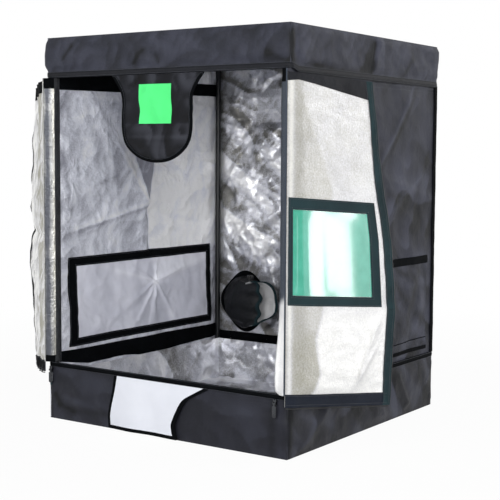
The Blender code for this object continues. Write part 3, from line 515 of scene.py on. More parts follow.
def add_object(name, points, faces, finishes, indices, uvs, sharp=55):
    mesh = bpy.data.meshes.new(name)
    mesh.from_pydata([tuple(p) for p in points], [], faces)
    for paint in finishes:
        mesh.materials.append(paint)
    mesh.polygons.foreach_set("material_index", np.asarray(indices, np.int32))
    layer = mesh.uv_layers.new(name="cloth")
    corner = np.zeros(len(mesh.loops), np.int32)
    mesh.loops.foreach_get("vertex_index", corner)
    layer.data.foreach_set("uv", np.asarray(uvs, np.float32)[corner].ravel())
    mesh.shade_smooth()
    mesh.set_sharp_from_angle(angle=math.radians(sharp))
    return to_scene(bpy.data.objects.new(name, mesh))


def surface(place, U, V, lift=0.0):
    """Points of a surface, lifted along its own normal."""
    P = place(U, V)
    if not np.any(lift):
        return P
    e = 0.0006
    across = np.cross(place(U + e, V) - P, place(U, V + e) - P)
    return P + across / np.maximum(np.linalg.norm(across, axis=-1, keepdims=True), 1e-12) * lift


def kept_cells(us, vs, holes, rounds, keep):
    """Which cells of the grid are cloth, and not a hole or beyond its outline."""
    cu, cv = (us[:-1] + us[1:]) / 2, (vs[:-1] + vs[1:]) / 2
    CU, CV = np.meshgrid(cu, cv, indexing="ij")
    kept = np.ones(CU.shape, bool)
    for a, b, c, d in holes:
        kept &= ~((CU > a) & (CU < b) & (CV > c) & (CV < d))
    for a, b, r in rounds:
        kept &= np.hypot(CU - a, CV - b) > r
    if keep is not None:
        kept &= keep(CU, CV)
    return kept


def onto_rounds(U, V, kept, rounds):
    """Moves the grid points on the rim of a round hole onto its circle."""
    for a, b, r in rounds:
        gone = np.zeros(U.shape, bool)
        left = np.zeros(U.shape, bool)
        for i in (0, 1):
            for j in (0, 1):
                area = (slice(i, U.shape[0] - 1 + i), slice(j, U.shape[1] - 1 + j))
                gone[area] |= ~kept
                left[area] |= kept
        rim = gone & left & (np.hypot(U - a, V - b) < 1.5 * r)
        far = np.hypot(U - a, V - b)
        U[rim] = a + (U[rim] - a) * r / far[rim]
        V[rim] = b + (V[rim] - b) * r / far[rim]


def cloth(name, us, vs, place, finishes, thick=SKIN, lift=0.0, holes=(), rounds=(), keep=None, painted_shade_and_tint=None):
    """A closed thin sheet. finishes is one finish, or that of the side that us x vs points to and
    then that of the other. The painted shade and tint, if given, is a number for each point that
    paints shade into a finish above 0 and light below 0; one binding uses it for its dark cloth too."""
    if not isinstance(finishes, tuple):
        finishes = (finishes, finishes)
    U, V = np.meshgrid(us, vs, indexing="ij")
    kept = kept_cells(np.asarray(us), np.asarray(vs), holes, rounds, keep)
    onto_rounds(U, V, kept, rounds)
    count = U.size
    both = [surface(place, U, V, lift + side * thick / 2).reshape(-1, 3) for side in (1, -1)]
    rows = U.shape[1]
    faces, paints = [], []
    filled = np.pad(kept, 1)
    for i, j in np.argwhere(kept):
        a, b, c, d = i * rows + j, (i + 1) * rows + j, (i + 1) * rows + j + 1, i * rows + j + 1
        faces.append((a, b, c, d))
        faces.append((d + count, c + count, b + count, a + count))
        paints += [0, 1]
        for k, m, p, q in ((i + 1, j, a, b), (i + 2, j + 1, b, c), (i + 1, j + 2, c, d), (i, j + 1, d, a)):
            if not filled[k, m]:
                faces.append((q, p, p + count, q + count))
                paints.append(0)
    used = np.zeros(2 * count, bool)
    used[np.array([v for f in faces for v in f])] = True
    number = np.cumsum(used) - 1
    faces = [tuple(int(number[v]) for v in f) for f in faces]
    uv = np.stack([U, V], -1).reshape(-1, 2)
    item = add_object(name, np.concatenate(both)[used], faces, finishes, paints, np.concatenate([uv, uv])[used])
    if painted_shade_and_tint is not None:
        values = np.tile(painted_shade_and_tint(U, V).ravel().astype(np.float32), 2)[used]
        item.data.attributes.new("painted_shade_and_tint", "FLOAT", "POINT").data.foreach_set("value", values)
    return item


def flat_place(origin, along_u, along_v, bulge=None):
    """A plane through origin; bulge(u, v) stands out along u x v."""
    origin, a, b = np.array(origin), np.array(along_u, float), np.array(along_v, float)
    out = np.cross(a, b)

    def place(U, V):
        high = bulge(U, V) if bulge else np.zeros_like(U)
        return origin + U[..., None] * a + V[..., None] * b + high[..., None] * out

    return place


def hang(item, body, slot, nodes=(), pieces=()):
    """Ties a piece to its body and hides the solids it stands for. slot and pieces are not used."""
    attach(item, body)
    if nodes:
        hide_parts(*nodes)
    return item


def hang_all(items, body="tent", slot="black_tape"):
    return [hang(item, body, slot) for item in items]


X, Y, Z = (1, 0, 0), (0, 1, 0), (0, 0, 1)
WIDE = 0.375
TALL = 1.0
GAP = 0.0003
GRID = 0.0075
FINE = 0.0045
print("a cloth is", SKIN * 1000, "mm thick")

# %% [markdown]
# ## The side walls
# Each side wall is one cloth from floor to roof, black outside and silver inside, with a wide
# vent window low down. The left one shows its lining, so its long creases are drawn from the
# photograph. The right one shows its black side, with softer hollows.

# %% Side walls
VENT = (-0.281, 0.303, 0.196, 0.399)
LOW_WALL, HIGH_WALL = 0.0013, 0.9987
BAND_FROM, BAND_TO = 0.155, 0.880
WALL_REACH = 0.010


def edge_calm(a, z):
    return inside(a, z, (-WIDE, WIDE, 0.0, TALL), 0.06)


def held_flat(high, z, outward):
    """Limits how far a wall stands out where the bands wrap round it, and inward at its edges."""
    free = 0.0002 + WALL_REACH * ramp((z - BAND_FROM) / 0.05) * ramp((BAND_TO - z) / 0.05)
    return np.minimum(high, free) if outward > 0 else np.maximum(high, -free)


LEFT_CREASES = (
    ((-0.218, 0.858), (0.033, 0.542), 0.0060, 0.012, 0.030),
    ((-0.045, 0.685), (0.033, 0.542), 0.0080, 0.030, 0.008),
    ((0.066, 0.680), (0.033, 0.542), -0.0170, 0.070, 0.018),
    ((0.033, 0.542), (0.042, 0.424), -0.0170, 0.070, 0.014),
    ((-0.271, 0.501), (0.004, 0.552), 0.0036, 0.007, 0.014),
    ((-0.260, 0.488), (0.004, 0.541), 0.0030, 0.007, 0.012))


def left_bulge(y, z):
    """How far the left wall stands in, towards the lining's side."""
    swell = (0.006 * folds(y, z, 0.30, 3) + 0.0030 * folds(y, z, 0.09, 5)
             + 0.0016 * crumple(y + 0.3 * z, z, 0.06, 6, 2))
    return held_flat((0.010 + swell + creases(y, z, LEFT_CREASES)) * edge_calm(y, z), z, -1)


# Edges of the facets that are painted pale, dark and narrow on the left wall's lining.
PALE_EDGE = through((0.424, 0.040), (0.542, 0.033), (0.680, 0.066), (0.80, 0.10))
DARK_EDGE = through((0.542, 0.033), (0.685, -0.045), (0.86, -0.058))
SLIVER_EDGE = through((0.542, 0.033), (0.712, -0.114), (0.858, -0.218))
LEFT_LINES = (
    ((0.031, 0.542), (0.038, 0.424), 1.1, 0.003, 0.009),
    ((0.050, 0.650), (0.031, 0.542), 0.5, 0.003, 0.010),
    ((-0.218, 0.858), (-0.060, 0.660), 0.60, 0.006, 0.004),
    ((-0.120, 0.740), (0.030, 0.552), -0.60, 0.003, 0.007),
    ((-0.271, 0.494), (0.004, 0.545), 0.75, 0.0040, 0.0050),
    ((-0.271, 0.503), (0.004, 0.554), -0.75, 0.0050, 0.0040),
    ((-0.070, 0.650), (-0.100, 0.610), 0.60, 0.004, 0.006),
    ((-0.030, 0.640), (-0.060, 0.600), 0.50, 0.004, 0.006),
    ((0.120, 0.570), (0.220, 0.585), -0.60, 0.006, 0.004),
    ((0.080, 0.560), (0.110, 0.500), 0.30, 0.005, 0.008),
    ((-0.330, 0.700), (-0.300, 0.560), 0.55, 0.003, 0.012),
    ((-0.250, 0.640), (-0.215, 0.560), -0.50, 0.004, 0.010),
    ((-0.190, 0.620), (-0.120, 0.640), 0.50, 0.004, 0.009),
    ((-0.320, 0.790), (-0.260, 0.800), -0.45, 0.008, 0.004),
    ((-0.130, 0.560), (-0.080, 0.610), -0.55, 0.004, 0.010),
    ((0.090, 0.700), (0.200, 0.640), 0.55, 0.004, 0.014),
    ((0.140, 0.520), (0.260, 0.500), 0.45, 0.004, 0.012),
    ((0.250, 0.760), (0.290, 0.600), 0.60, 0.004, 0.016))


def left_painted_shading(y, z):
    """Painted light and shade of the old folds: the lining's facets are painted, one pale, a narrow
    one too, the one between them dark, with thin lines and small crumples of light and shade over
    all, and shade towards the wall's front and back edges."""
    beyond = ramp((y - PALE_EDGE(z)) / 0.005)
    above = ramp((z - 0.539) / 0.008)
    past_dark = ramp((y - DARK_EDGE(z)) / 0.005)
    between = past_dark * above * (1 - beyond)
    narrow = ramp((y - SLIVER_EDGE(z)) / 0.005) * above * (1 - past_dark) * (0.35 + 0.50 * ramp((0.74 - z) / 0.08))
    facet_shading = (0.18 * folds(y, z, 0.09, 151) + 0.34 * slope_shading(y + 0.2 * z, z, 0.17, 153, 2, (-0.7, 0.7))
              + 0.20 * slope_shading(y, z, 0.07, 155, 2, (-0.8, 0.6)))
    corner = 0.30 * ramp((y - 0.28) / 0.09) + 0.25 * ramp((-0.26 - y) / 0.10)
    return (0.75 * between - 1.12 * beyond * ramp((z - 0.41) / 0.02) - narrow + creases(y, z, LEFT_LINES)
            + facet_shading + corner + 0.16)


RIGHT_CREASES = (
    ((0.228, 0.874), (0.064, 0.698), 0.0080, 0.035, 0.010),
    ((0.330, 0.680), (0.120, 0.560), 0.0060, 0.020, 0.030),
    ((0.090, 0.640), (0.330, 0.590), 0.0055, 0.015, 0.030))


def right_bulge(y, z):
    """How far the right wall stands out."""
    swell = 0.0050 * folds(y, z, 0.25, 11) + 0.0040 * folds(y, z, 0.10, 12) + 0.0022 * crumple(y, z, 0.12, 13, 2)
    return held_flat((swell + creases(y, z, RIGHT_CREASES)) * edge_calm(y, z), z, 1)


RIGHT_LINES = (
    ((0.228, 0.874), (0.064, 0.698), -1.0, 0.0060, 0.0050),
    ((0.240, 0.866), (0.080, 0.690), 0.9, 0.0100, 0.0250),
    ((0.330, 0.700), (0.260, 0.600), 0.8, 0.0150, 0.0100),
    ((0.120, 0.560), (0.280, 0.640), -0.7, 0.0080, 0.0100),
    ((0.100, 0.600), (0.200, 0.590), 0.8, 0.0100, 0.0150))


def right_painted_shading(y, z):
    """Painted light and shade: soft hollows, lit and shaded facets, one long crease with a painted
    highlight, and shade towards the back edge.
    """
    facet_shading = (0.80 * slope_shading(y, z + 0.3 * y, 0.22, 161, 2, (-0.6, 0.8)) * (0.35 + 0.65 * ramp((0.72 - z) / 0.08))
              + 0.30 * folds(y, z, 0.12, 163))
    return creases(y, z, RIGHT_LINES) + facet_shading + 0.35 * ramp((y - 0.330) / 0.03) + 0.10


left_place = flat_place((-WIDE + SKIN / 2, 0, 0), Y, Z, left_bulge)
right_place = flat_place((WIDE - SKIN / 2, 0, 0), Y, Z, right_bulge)
wall_us = steps(-WIDE, WIDE, FINE, VENT[:2])
wall_vs = steps(LOW_WALL, HIGH_WALL, FINE, VENT[2:])
left_wall = cloth("left_wall_cloth", wall_us, wall_vs, left_place, (satin_lining, black_cloth), holes=[VENT],
                  painted_shade_and_tint=left_painted_shading)
right_wall = cloth("right_wall_cloth", wall_us, wall_vs, right_place, (black_cloth, satin_lining), holes=[VENT],
                   painted_shade_and_tint=right_painted_shading)
print("wall faces:", len(left_wall.data.polygons), len(right_wall.data.polygons))

# %% [markdown]
# Bands of black tape run round the inside of the walls, where the roof's and the base's seams
# are, and a frame of tape holds the vent's mesh. They lie on the lining and follow its folds.
# Where the mesh was folded, a star of pale lines is painted on it, as highlights along its folds.
# Outside, each vent has a cover that hangs from a closing strip.

# %% Inner bands and vent windows
TAPE = 0.0008
INNER = 0.3712
run = steps(-INNER, INNER, GRID)


def band(name, place, low, high, side):
    """A strip of tape on one side of a wall. low and high give its edges along the way."""
    def on_strip(U, V):
        return place(U, low(U) + (high(U) - low(U)) * V)

    return cloth(name, run, np.linspace(0, 1, 5), on_strip, black_tape, TAPE, side * (SKIN / 2 + TAPE / 2 + GAP))


left_bands = [
    band("left_upper_band", left_place, through((-INNER, 0.868), (INNER, 0.880)),
         through((-INNER, 0.926), (0.04, 0.926), (0.10, 0.912), (INNER, 0.916)), 1),
    band("left_lower_band", left_place,
         through((-INNER, 0.150), (-0.243, 0.129), (-0.089, 0.129), (0.032, 0.116), (0.161, 0.124), (INNER, 0.130)),
         through((-INNER, 0.174), (-0.004, 0.171), (0.10, 0.173), (INNER, 0.169)), 1)]
right_bands = [band("right_upper_band", right_place, through((0, 0.872)), through((0, 0.900)), -1),
               band("right_lower_band", right_place, through((0, 0.128)), through((0, 0.170)), -1)]

TAPE_HOLE = (-0.280, 0.302, 0.2035, 0.3985)
TAPE_OUT = (-0.314, 0.325, 0.1815, 0.4235)
STAR = (0.054, 0.330)
STAR_WAYS = (2.75, 0.25, -0.95, -1.65, -2.2, 3.6, 1.5)
STAR_ENDS = ((-0.045, 0.212), (0.022, 0.200), (0.128, 0.222), (0.280, 0.372), (-0.110, 0.372), (0.045, 0.400))
STAR_LINES = [(STAR, end, -0.55, 0.0035, 0.0035) for end in STAR_ENDS]
COVER, COVER_SIZE = (-0.307, 0.329, 0.167, 0.407), (0.636, 0.240)
COVER_HEMS = {"hem": (0.1672, 0.1770), "fold": (0.1985, 0.2005)}
STRIP_THICK = 0.0014


def net_painted_shading(U, V):
    """Painted highlight lines along the mesh's folds that meet in a star, a paler painted fan above it
    and painted shade below it.
    """
    fans = ramp((V - np.interp(U, (0.054, 0.30), (0.330, 0.375))) / 0.01) * ramp((U - 0.05) / 0.01)
    under = ramp((0.335 - V) / 0.02) * inside(U, V, (-0.06, 0.13, 0.15, 0.34), 0.03)
    return creases(U, V, STAR_LINES) - 0.75 * fans + 0.45 * under + 0.30 * folds(U, V, 0.11, 171)


def vent(word, place, inward):
    """Frame of tape and mesh inside, cover and closing strip outside. inward is 1 where us x vs points in."""
    lift = inward * (SKIN / 2 + TAPE / 2 + GAP)
    tape = cloth(f"{word}_vent_tape", steps(*TAPE_OUT[:2], GRID, TAPE_HOLE[:2]),
                 steps(*TAPE_OUT[2:], GRID, TAPE_HOLE[2:]), place, black_tape, TAPE, lift, holes=[TAPE_HOLE])

    def net_place(U, V):
        P = place(U, V)
        far = np.hypot(U - STAR[0], V - STAR[1])
        angle = np.arctan2(V - STAR[1], U - STAR[0])
        rays = sum(np.exp(-((np.angle(np.exp(1j * (angle - a)))) / 0.10) ** 2) for a in STAR_WAYS)
        high = (0.0060 * rays * np.exp(-far / 0.16) + 0.0030 * folds(U, V, 0.09, 21)) * inside(U, V, VENT, 0.03)
        P[..., 0] += inward * high
        return P

    def cover_place(U, V):
        P = place(U, V)
        slant = np.sin(math.pi * (3 * (U - COVER[0]) / COVER_SIZE[0] + (V - COVER[2]) / COVER_SIZE[1])) ** 2
        high = (0.0030 * slant + 0.0016 * crumple(U, V, 0.07, 31, 2) + 0.0012) * inside(U, V, COVER, 0.05)
        P[..., 0] -= inward * (high + SKIN + GAP)
        return P

    net = cloth(f"{word}_vent_net", steps(*VENT[:2], 0.0036), steps(*VENT[2:], 0.0036), net_place, mesh_cloth, 0.0006,
                painted_shade_and_tint=net_painted_shading)
    hang(tape, "tent", "black_tape", [f"{word}_vent_frame"])
    hang(net, "tent", "grey_mesh", [f"{word}_vent_mesh"], pieces=[tape])
    faces = (satin_lining, black_cloth) if word == "left" else (black_cloth, satin_lining)
    # The cover's crumples are painted into its colour: shade along their creases and light between.
    cover = cloth(f"{word}_vent_cover_cloth", steps(*COVER[:2], FINE), steps(*COVER[2:], FINE), cover_place, faces,
                  painted_shade_and_tint=lambda U, V: 0.9 * crumple(U + 0.5 * V, V, 0.085, 181, 2) + 0.2)
    along = steps(*COVER[:2], GRID)
    hems = [cloth(f"{word}_vent_cover_{part}", along, np.linspace(*rows, 3), cover_place, black_tape, TAPE, -lift)
            for part, rows in COVER_HEMS.items()]
    strip = cloth(f"{word}_vent_closing_strip", along, np.linspace(0.4075, 0.4283, 4), place, black_tape, STRIP_THICK,
                  -inward * (SKIN / 2 + STRIP_THICK / 2 + GAP))
    hang(strip, f"{word}_vent_closure", "black_tape", [f"{word}_vent_cover_strip"])
    hang(cover, "tent", "black_cloth", [f"{word}_vent_cover"],
         pieces=[strip, *hang_all(hems)])
    for item in (cover, *hems):
        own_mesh(item)


vent("left", left_place, 1)
vent("right", right_place, -1)
for word, wall, bands in (("left", left_wall, left_bands), ("right", right_wall, right_bands)):
    hang(wall, "tent", "black_cloth", [f"{word}_wall"],
         pieces=hang_all(bands))
print("two vent windows made")

# %% [markdown]
# ## The back wall
# Its lining is crinkled film, with bright slanting streaks of painted light. Two round holes
# take the duct sleeves, and the grid points on their rims are moved onto true circles.

# %% Back wall
INTAKE = (-0.262, 0.245)
EXHAUST = (0.190, 0.780)
PORT = 0.079


def back_bulge(x, z):
    """How far the back wall stands in, calm at its edges and round the ports."""
    crinkle = (0.0090 * crumple(x, z - 0.5 * x, 0.17, 41) + 0.0060 * folds(x, z, 0.22, 44)
               + 0.0026 * crumple(x, z + 0.4 * x, 0.06, 47, 3))
    lines = crease(x, z, (-0.300, 0.812), (-0.130, 0.804), -0.006, 0.010, 0.030)
    calm = edge_calm(x, z)
    for a, b in (INTAKE, EXHAUST):
        calm = calm * ramp((np.hypot(x - a, z - b) - PORT - 0.016) / 0.04)
    return held_flat((crinkle + lines) * calm, z, -1)


def back_painted_shading(x, z):
    """Painted light and shade: lit streaks along a slant and lit and shaded facets, and darker towards
    the roof and the floor.
    """
    along, across = 0.78 * x - 0.62 * z, 0.62 * x + 0.78 * z
    streaks = -0.75 * slope_shading(along * 0.45, across, 0.22, 191, 3, (0.0, 1.0))
    facets = 0.35 * slope_shading(x, z, 0.24, 197, 4, (-0.5, 0.86))
    level = 0.55 * ramp((z - 0.66) / 0.22) + 0.35 * ramp((0.42 - z) / 0.10) + 0.30 * folds(x, z, 0.14, 193)
    low = crease(x, z, (-0.360, 0.520), (-0.180, 0.440), -0.9, 0.012, 0.020)
    return streaks + facets + level + low + 0.02


back_place = flat_place((0, WIDE - SKIN / 2, 0), X, Z, back_bulge)
back_wall = cloth("back_wall_cloth", steps(-WIDE + 0.0013, WIDE - 0.0013, FINE), steps(LOW_WALL, HIGH_WALL, FINE),
                  back_place, (crinkled_foil, black_cloth), rounds=[(*INTAKE, PORT), (*EXHAUST, PORT)],
                  painted_shade_and_tint=back_painted_shading)
back_lower = band("back_lower_band", back_place, through((0, 0.112)), through((0, 0.147)), 1)
hang(back_wall, "tent", "black_cloth", ["back_wall"],
     pieces=hang_all([back_lower]))
print("back wall faces:", len(back_wall.data.polygons))

# %% [markdown]
# ## Roof, floor and tray
# The roof cloth sags a little between the rails. The loose tray on the floor is the most
# crinkled piece of all: a film bag with low walls that lean on the bottom rails.

# %% Roof, floor panel and tray
roof_steps, floor_steps = steps(-WIDE, WIDE, 0.010), steps(-WIDE, WIDE, 0.015)


def roof_bulge(x, y):
    calm = inside(x, y, (-WIDE, WIDE, -WIDE, WIDE), 0.05)
    return (0.0020 * folds(x, y, 0.22, 51) + 0.0010 * crumple(x, y, 0.10, 53, 2) - 0.0010) * calm


roof = cloth("roof_cloth", roof_steps, roof_steps, flat_place((0, 0, TALL - SKIN / 2), X, Y, roof_bulge),
             (black_cloth, satin_lining))
hang(roof, "tent", "black_cloth", ["roof_panel"])
base = cloth("floor_cloth", floor_steps, floor_steps, flat_place((0, 0, SKIN / 2), X, Y), black_cloth)
hang(base, "tent", "black_cloth", ["floor_panel"])

TRAY_HALF = 0.3510
TRAY_WALL = 0.121
TRAY_BASE = 0.0023
TRAY_LEAN = 0.003


def tray_fold(U):
    """0 on the tray's fold and at its rim, so that both stay straight, and 1 between them."""
    return ramp(np.abs(TRAY_HALF - np.abs(U)) / 0.03) * ramp((TRAY_HALF + TRAY_WALL - np.abs(U)) / 0.015)


def tray_place(U, V):
    """A cross of film folded up into a tray: beyond the floor's half size it turns into a wall."""
    over_u, over_v = np.maximum(np.abs(U) - TRAY_HALF, 0), np.maximum(np.abs(V) - TRAY_HALF, 0)
    up = np.maximum(over_u, over_v)
    lean = up / TRAY_WALL * TRAY_LEAN
    x = np.clip(U, -TRAY_HALF, TRAY_HALF) + np.sign(U) * np.where(over_u > 0, lean, 0)
    y = np.clip(V, -TRAY_HALF, TRAY_HALF) + np.sign(V) * np.where(over_v > 0, lean, 0)
    x = x + np.where((over_v > 0) & (np.abs(U) > TRAY_HALF - 0.0001), np.sign(U) * lean, 0)
    y = y + np.where((over_u > 0) & (np.abs(V) > TRAY_HALF - 0.0001), np.sign(V) * lean, 0)
    rough = (0.0085 * crumple(U, V, 0.13, 61) + 0.0050 * folds(U, V, 0.16, 64)
             + 0.0022 * crumple(U + 0.3 * V, V, 0.05, 67, 2))
    rough += crease(U, V, (-0.28, -0.02), (-0.10, -0.28), -0.006, 0.012, 0.040)
    fold_u, fold_v = tray_fold(U), tray_fold(V)
    rough = rough * fold_u * fold_v
    on_floor = np.where(up <= 0, np.maximum(rough + 0.003 * fold_u * fold_v, 0), 0)
    in_x = np.where(over_u > 0, -np.sign(U) * np.abs(rough), 0)
    in_y = np.where(over_v > 0, -np.sign(V) * np.abs(rough), 0)
    return np.stack([x + in_x, y + in_y, TRAY_BASE + up + on_floor], -1)


# Painted light and shade on the tray's film: lit and shaded facets, soft swells and a dark crease line.
def tray_painted_shading(U, V):
    return (-0.85 * slope_shading(U, V, 0.32, 201, 2, (-0.6, 0.8)) + 0.30 * folds(U, V, 0.12, 203)
            + crease(U, V, (-0.28, 0.15), (-0.18, -0.02), 0.9, 0.004, 0.010))


reach = TRAY_HALF + TRAY_WALL
tray_steps = steps(-reach, reach, 0.0052, (-TRAY_HALF, TRAY_HALF))
tray = cloth("floor_tray_film", tray_steps, tray_steps, tray_place, crinkled_foil, 0.0008,
             keep=lambda U, V: (np.abs(U) < TRAY_HALF) | (np.abs(V) < TRAY_HALF), painted_shade_and_tint=tray_painted_shading)
hang(tray, "tent", "silver_lining", ["floor_tray"])
print("tray faces:", len(tray.data.polygons))

# %% [markdown]
# ## Header and base
# A band of black cloth wraps the top of the frame, and another the base. Each goes all round as
# one strip, with a hem that is turned up and sewn. The front part of the top band is the header
# over the doorway, and that of the base band is the sill.

# %% Wrap-around bands
HEM_OUT = 0.0025
WRAP = WIDE + 0.0009
CORNER = 0.010
HEADER_LOW, SIDE_LOW, HEM = 0.897, 0.8885, 0.0145
SILL_HIGH, SILL_HEM = 0.152, 0.0125
BAND_REACH = 0.0095
FRONT_SPAN = 2 * (WRAP - CORNER)
SEAM_AT = -0.75


def round_the_box(half, corner):
    """Length of a rounded square, and a function from distances along it to places and outward ways."""
    side = 2 * (half - corner)
    arc = math.pi / 2 * corner
    total = 4 * (side + arc)

    def go(S):
        S = np.mod(S, total)
        leg = np.minimum((S // (side + arc)).astype(int), 3)
        t = S - leg * (side + arc)
        turn = np.clip((t - side) / corner, 0, math.pi / 2)
        along = np.minimum(t, side)
        x = -half + corner + along + corner * np.sin(turn)
        y = -half + corner - corner * np.cos(turn)
        nx, ny = np.sin(turn), -np.cos(turn)
        c, s = np.cos(leg * math.pi / 2), np.sin(leg * math.pi / 2)
        return np.stack([x * c - y * s, x * s + y * c], -1), np.stack([nx * c - ny * s, nx * s + ny * c], -1)

    return total, go


total, around = round_the_box(WRAP, CORNER)


def sides_only(y):
    """0 on the front and 1 on the other three sides, with a short change at the front corners."""
    return ramp((y + WRAP - 0.004) / 0.030)


def rolled(low, height, V):
    """The outward curve of a hem that is turned up: out in its middle and tucked in at its edge."""
    return HEM_OUT * np.sin(np.clip((V - low) / height, 0, 1) * math.pi) ** 0.6


TOP_CREASES = (
    ((1.125, 0.990), (1.098, 0.905), -0.013, 0.008, 0.040),
    ((1.150, 0.985), (1.118, 0.905), 0.004, 0.010, 0.010),
    ((FRONT_SPAN + 0.026, 0.985), (FRONT_SPAN + 0.022, 0.915), -0.0050, 0.010, 0.006),
    ((0.10, 0.985), (0.04, 0.930), 0.0030, 0.020, 0.006),
    ((0.46, 0.965), (0.40, 0.920), 0.0022, 0.018, 0.006),
    ((0.950, 0.955), (0.880, 0.930), 0.0030, 0.012, 0.006))


def top_place(S, V):
    """V is a share of the band's height, because its lower edge hangs lower at the sides."""
    where, out = around(S)
    low = HEADER_LOW + (SIDE_LOW - HEADER_LOW) * sides_only(where[..., 1])
    z = low + V * (HIGH_WALL - low)
    calm = ramp((TALL - z) / 0.014) * ramp((z - low - HEM) / 0.02)
    swell = (0.0035 * folds(S, z, 0.14, 71) + 0.0022 * folds(S + 1.3 * z, z, 0.06, 73)
             + 0.0016 * crumple(S, z, 0.10, 75, 2))
    flare = 0.0060 * mound(z, 0.950, 0.030) * ramp((0.035 - np.abs(S + 0.012)) / 0.035)
    high = np.clip((0.0045 + swell + creases(S, z, TOP_CREASES)) * calm, 0, BAND_REACH)
    high = high + flare + rolled(low, HEM, z)
    return np.concatenate([where + out * high[..., None], z[..., None]], -1)


TOP_LINES = (
    ((1.128, 0.980), (1.106, 0.915), 2.2, 0.004, 0.016),
    ((1.106, 0.945), (1.094, 0.905), 2.2, 0.012, 0.022),
    ((1.060, 0.915), (1.100, 0.935), 0.9, 0.006, 0.012),
    ((FRONT_SPAN + 0.012, 0.975), (FRONT_SPAN + 0.012, 0.912), 1.9, 0.008, 0.004),
    ((FRONT_SPAN - 0.050, 0.935), (FRONT_SPAN + 0.004, 0.912), 0.9, 0.005, 0.010),
    ((0.085, 0.975), (0.055, 0.945), 1.1, 0.004, 0.005),
    ((0.315, 0.955), (0.285, 0.925), 1.0, 0.004, 0.005),
    ((0.352, 0.945), (0.362, 0.925), 0.9, 0.005, 0.003),
    ((0.880, 0.958), (0.910, 0.972), 0.7, 0.005, 0.005),
    ((1.330, 0.960), (1.270, 0.905), 0.9, 0.008, 0.020),
    ((0.850, 0.916), (1.060, 0.905), 1.3, 0.005, 0.007),
    ((FRONT_SPAN + 0.030, 0.975), (FRONT_SPAN + 0.028, 0.930), -0.35, 0.030, 0.004),
    ((1.140, 0.975), (1.125, 0.915), -0.35, 0.004, 0.030))


def top_painted_shading(S, V):
    """Painted shade in the pleats at the right front corner, small lit and shaded facets, and the
    right side painted a little paler than the front, where more light falls on it.
    """
    z = HEADER_LOW + V * (HIGH_WALL - HEADER_LOW)
    side = ramp((S - FRONT_SPAN + 0.01) / 0.03) * ramp((1.51 - S) / 0.05)
    small = 0.30 * folds(S + 0.6 * z, z, 0.09, 211) + 0.30 * slope_shading(S, z, 0.18, 213, 3, (-0.7, 0.7))
    return creases(S, z, TOP_LINES) + small - 0.28 * side + 0.12


top_us = steps(SEAM_AT + 0.0002, SEAM_AT + total - 0.0002, 0.0045)
hem_share = HEM / (HIGH_WALL - HEADER_LOW)
top_vs = np.concatenate([np.linspace(0, hem_share, 6)[:-1], np.linspace(hem_share, 1, 15)])
top_band = cloth("header_band", top_us, top_vs, top_place, black_cloth, painted_shade_and_tint=top_painted_shading)
top_hem = cloth("header_hem_tape", top_us, np.linspace(-0.004, hem_share, 7), top_place, hem_cloth, 0.0006,
                lift=SKIN / 2 + 0.0005)
hang(top_band, "tent", "black_cloth", ["header_front"],
     pieces=hang_all([top_hem]))

SILL_CREASES = (
    ((0.014, 0.065), (0.036, 0.034), -0.0060, 0.010, 0.020),
    ((0.036, 0.034), (0.150, 0.028), -0.0050, 0.010, 0.020))

BASE_CREASES = (
    ((0.80, 0.020), (0.93, 0.105), 0.0060, 0.020, 0.030),
    ((1.10, 0.130), (1.20, 0.020), 0.0070, 0.020, 0.040),
    ((1.28, 0.115), (1.33, 0.035), 0.0070, 0.015, 0.030))


def base_place(S, V):
    """The sill is flat where the lower flap lies on it and along its top, and the sides are creased."""
    where, out = around(S)
    x = where[..., 0]
    calm = ramp(V / 0.03) * ramp((SILL_HIGH - SILL_HEM - V) / 0.02)
    front = ramp((-where[..., 1] - WRAP + 0.020) / 0.015)
    flap_zone = front * inside(x, V, (-0.20, 0.17, -0.02, 0.160), 0.03)
    swell = 0.0035 * folds(S, V, 0.13, 81) + 0.0020 * crumple(S, V, 0.09, 83, 2)
    high = 0.0030 + swell + creases(S, V, SILL_CREASES) + creases(S, V, BASE_CREASES)
    high = np.clip(high * calm, 0, 0.0100) * (1 - flap_zone)
    high = high * (1 - front * ramp((V - 0.085) / 0.02))
    high = high + rolled(SILL_HIGH - SILL_HEM, SILL_HEM, V)
    return np.concatenate([where + out * high[..., None], V[..., None]], -1)


SILL_LINES = (
    ((0.012, 0.068), (0.028, 0.040), 1.4, 0.004, 0.006),
    ((0.028, 0.040), (0.078, 0.028), 1.3, 0.004, 0.006),
    ((0.078, 0.028), (0.180, 0.034), 0.45, 0.006, 0.006),
    ((0.050, 0.062), (0.150, 0.045), -0.45, 0.012, 0.012))

BASE_LINES = (
    ((1.235, 0.115), (1.275, 0.020), -1.3, 0.004, 0.016),
    ((1.120, 0.105), (1.160, 0.090), -0.6, 0.015, 0.030),
    ((0.790, 0.095), (0.930, 0.045), -0.9, 0.045, 0.008),
    ((0.800, 0.020), (0.850, 0.065), -0.5, 0.004, 0.010),
    ((1.000, 0.080), (1.080, 0.100), -0.8, 0.004, 0.012))


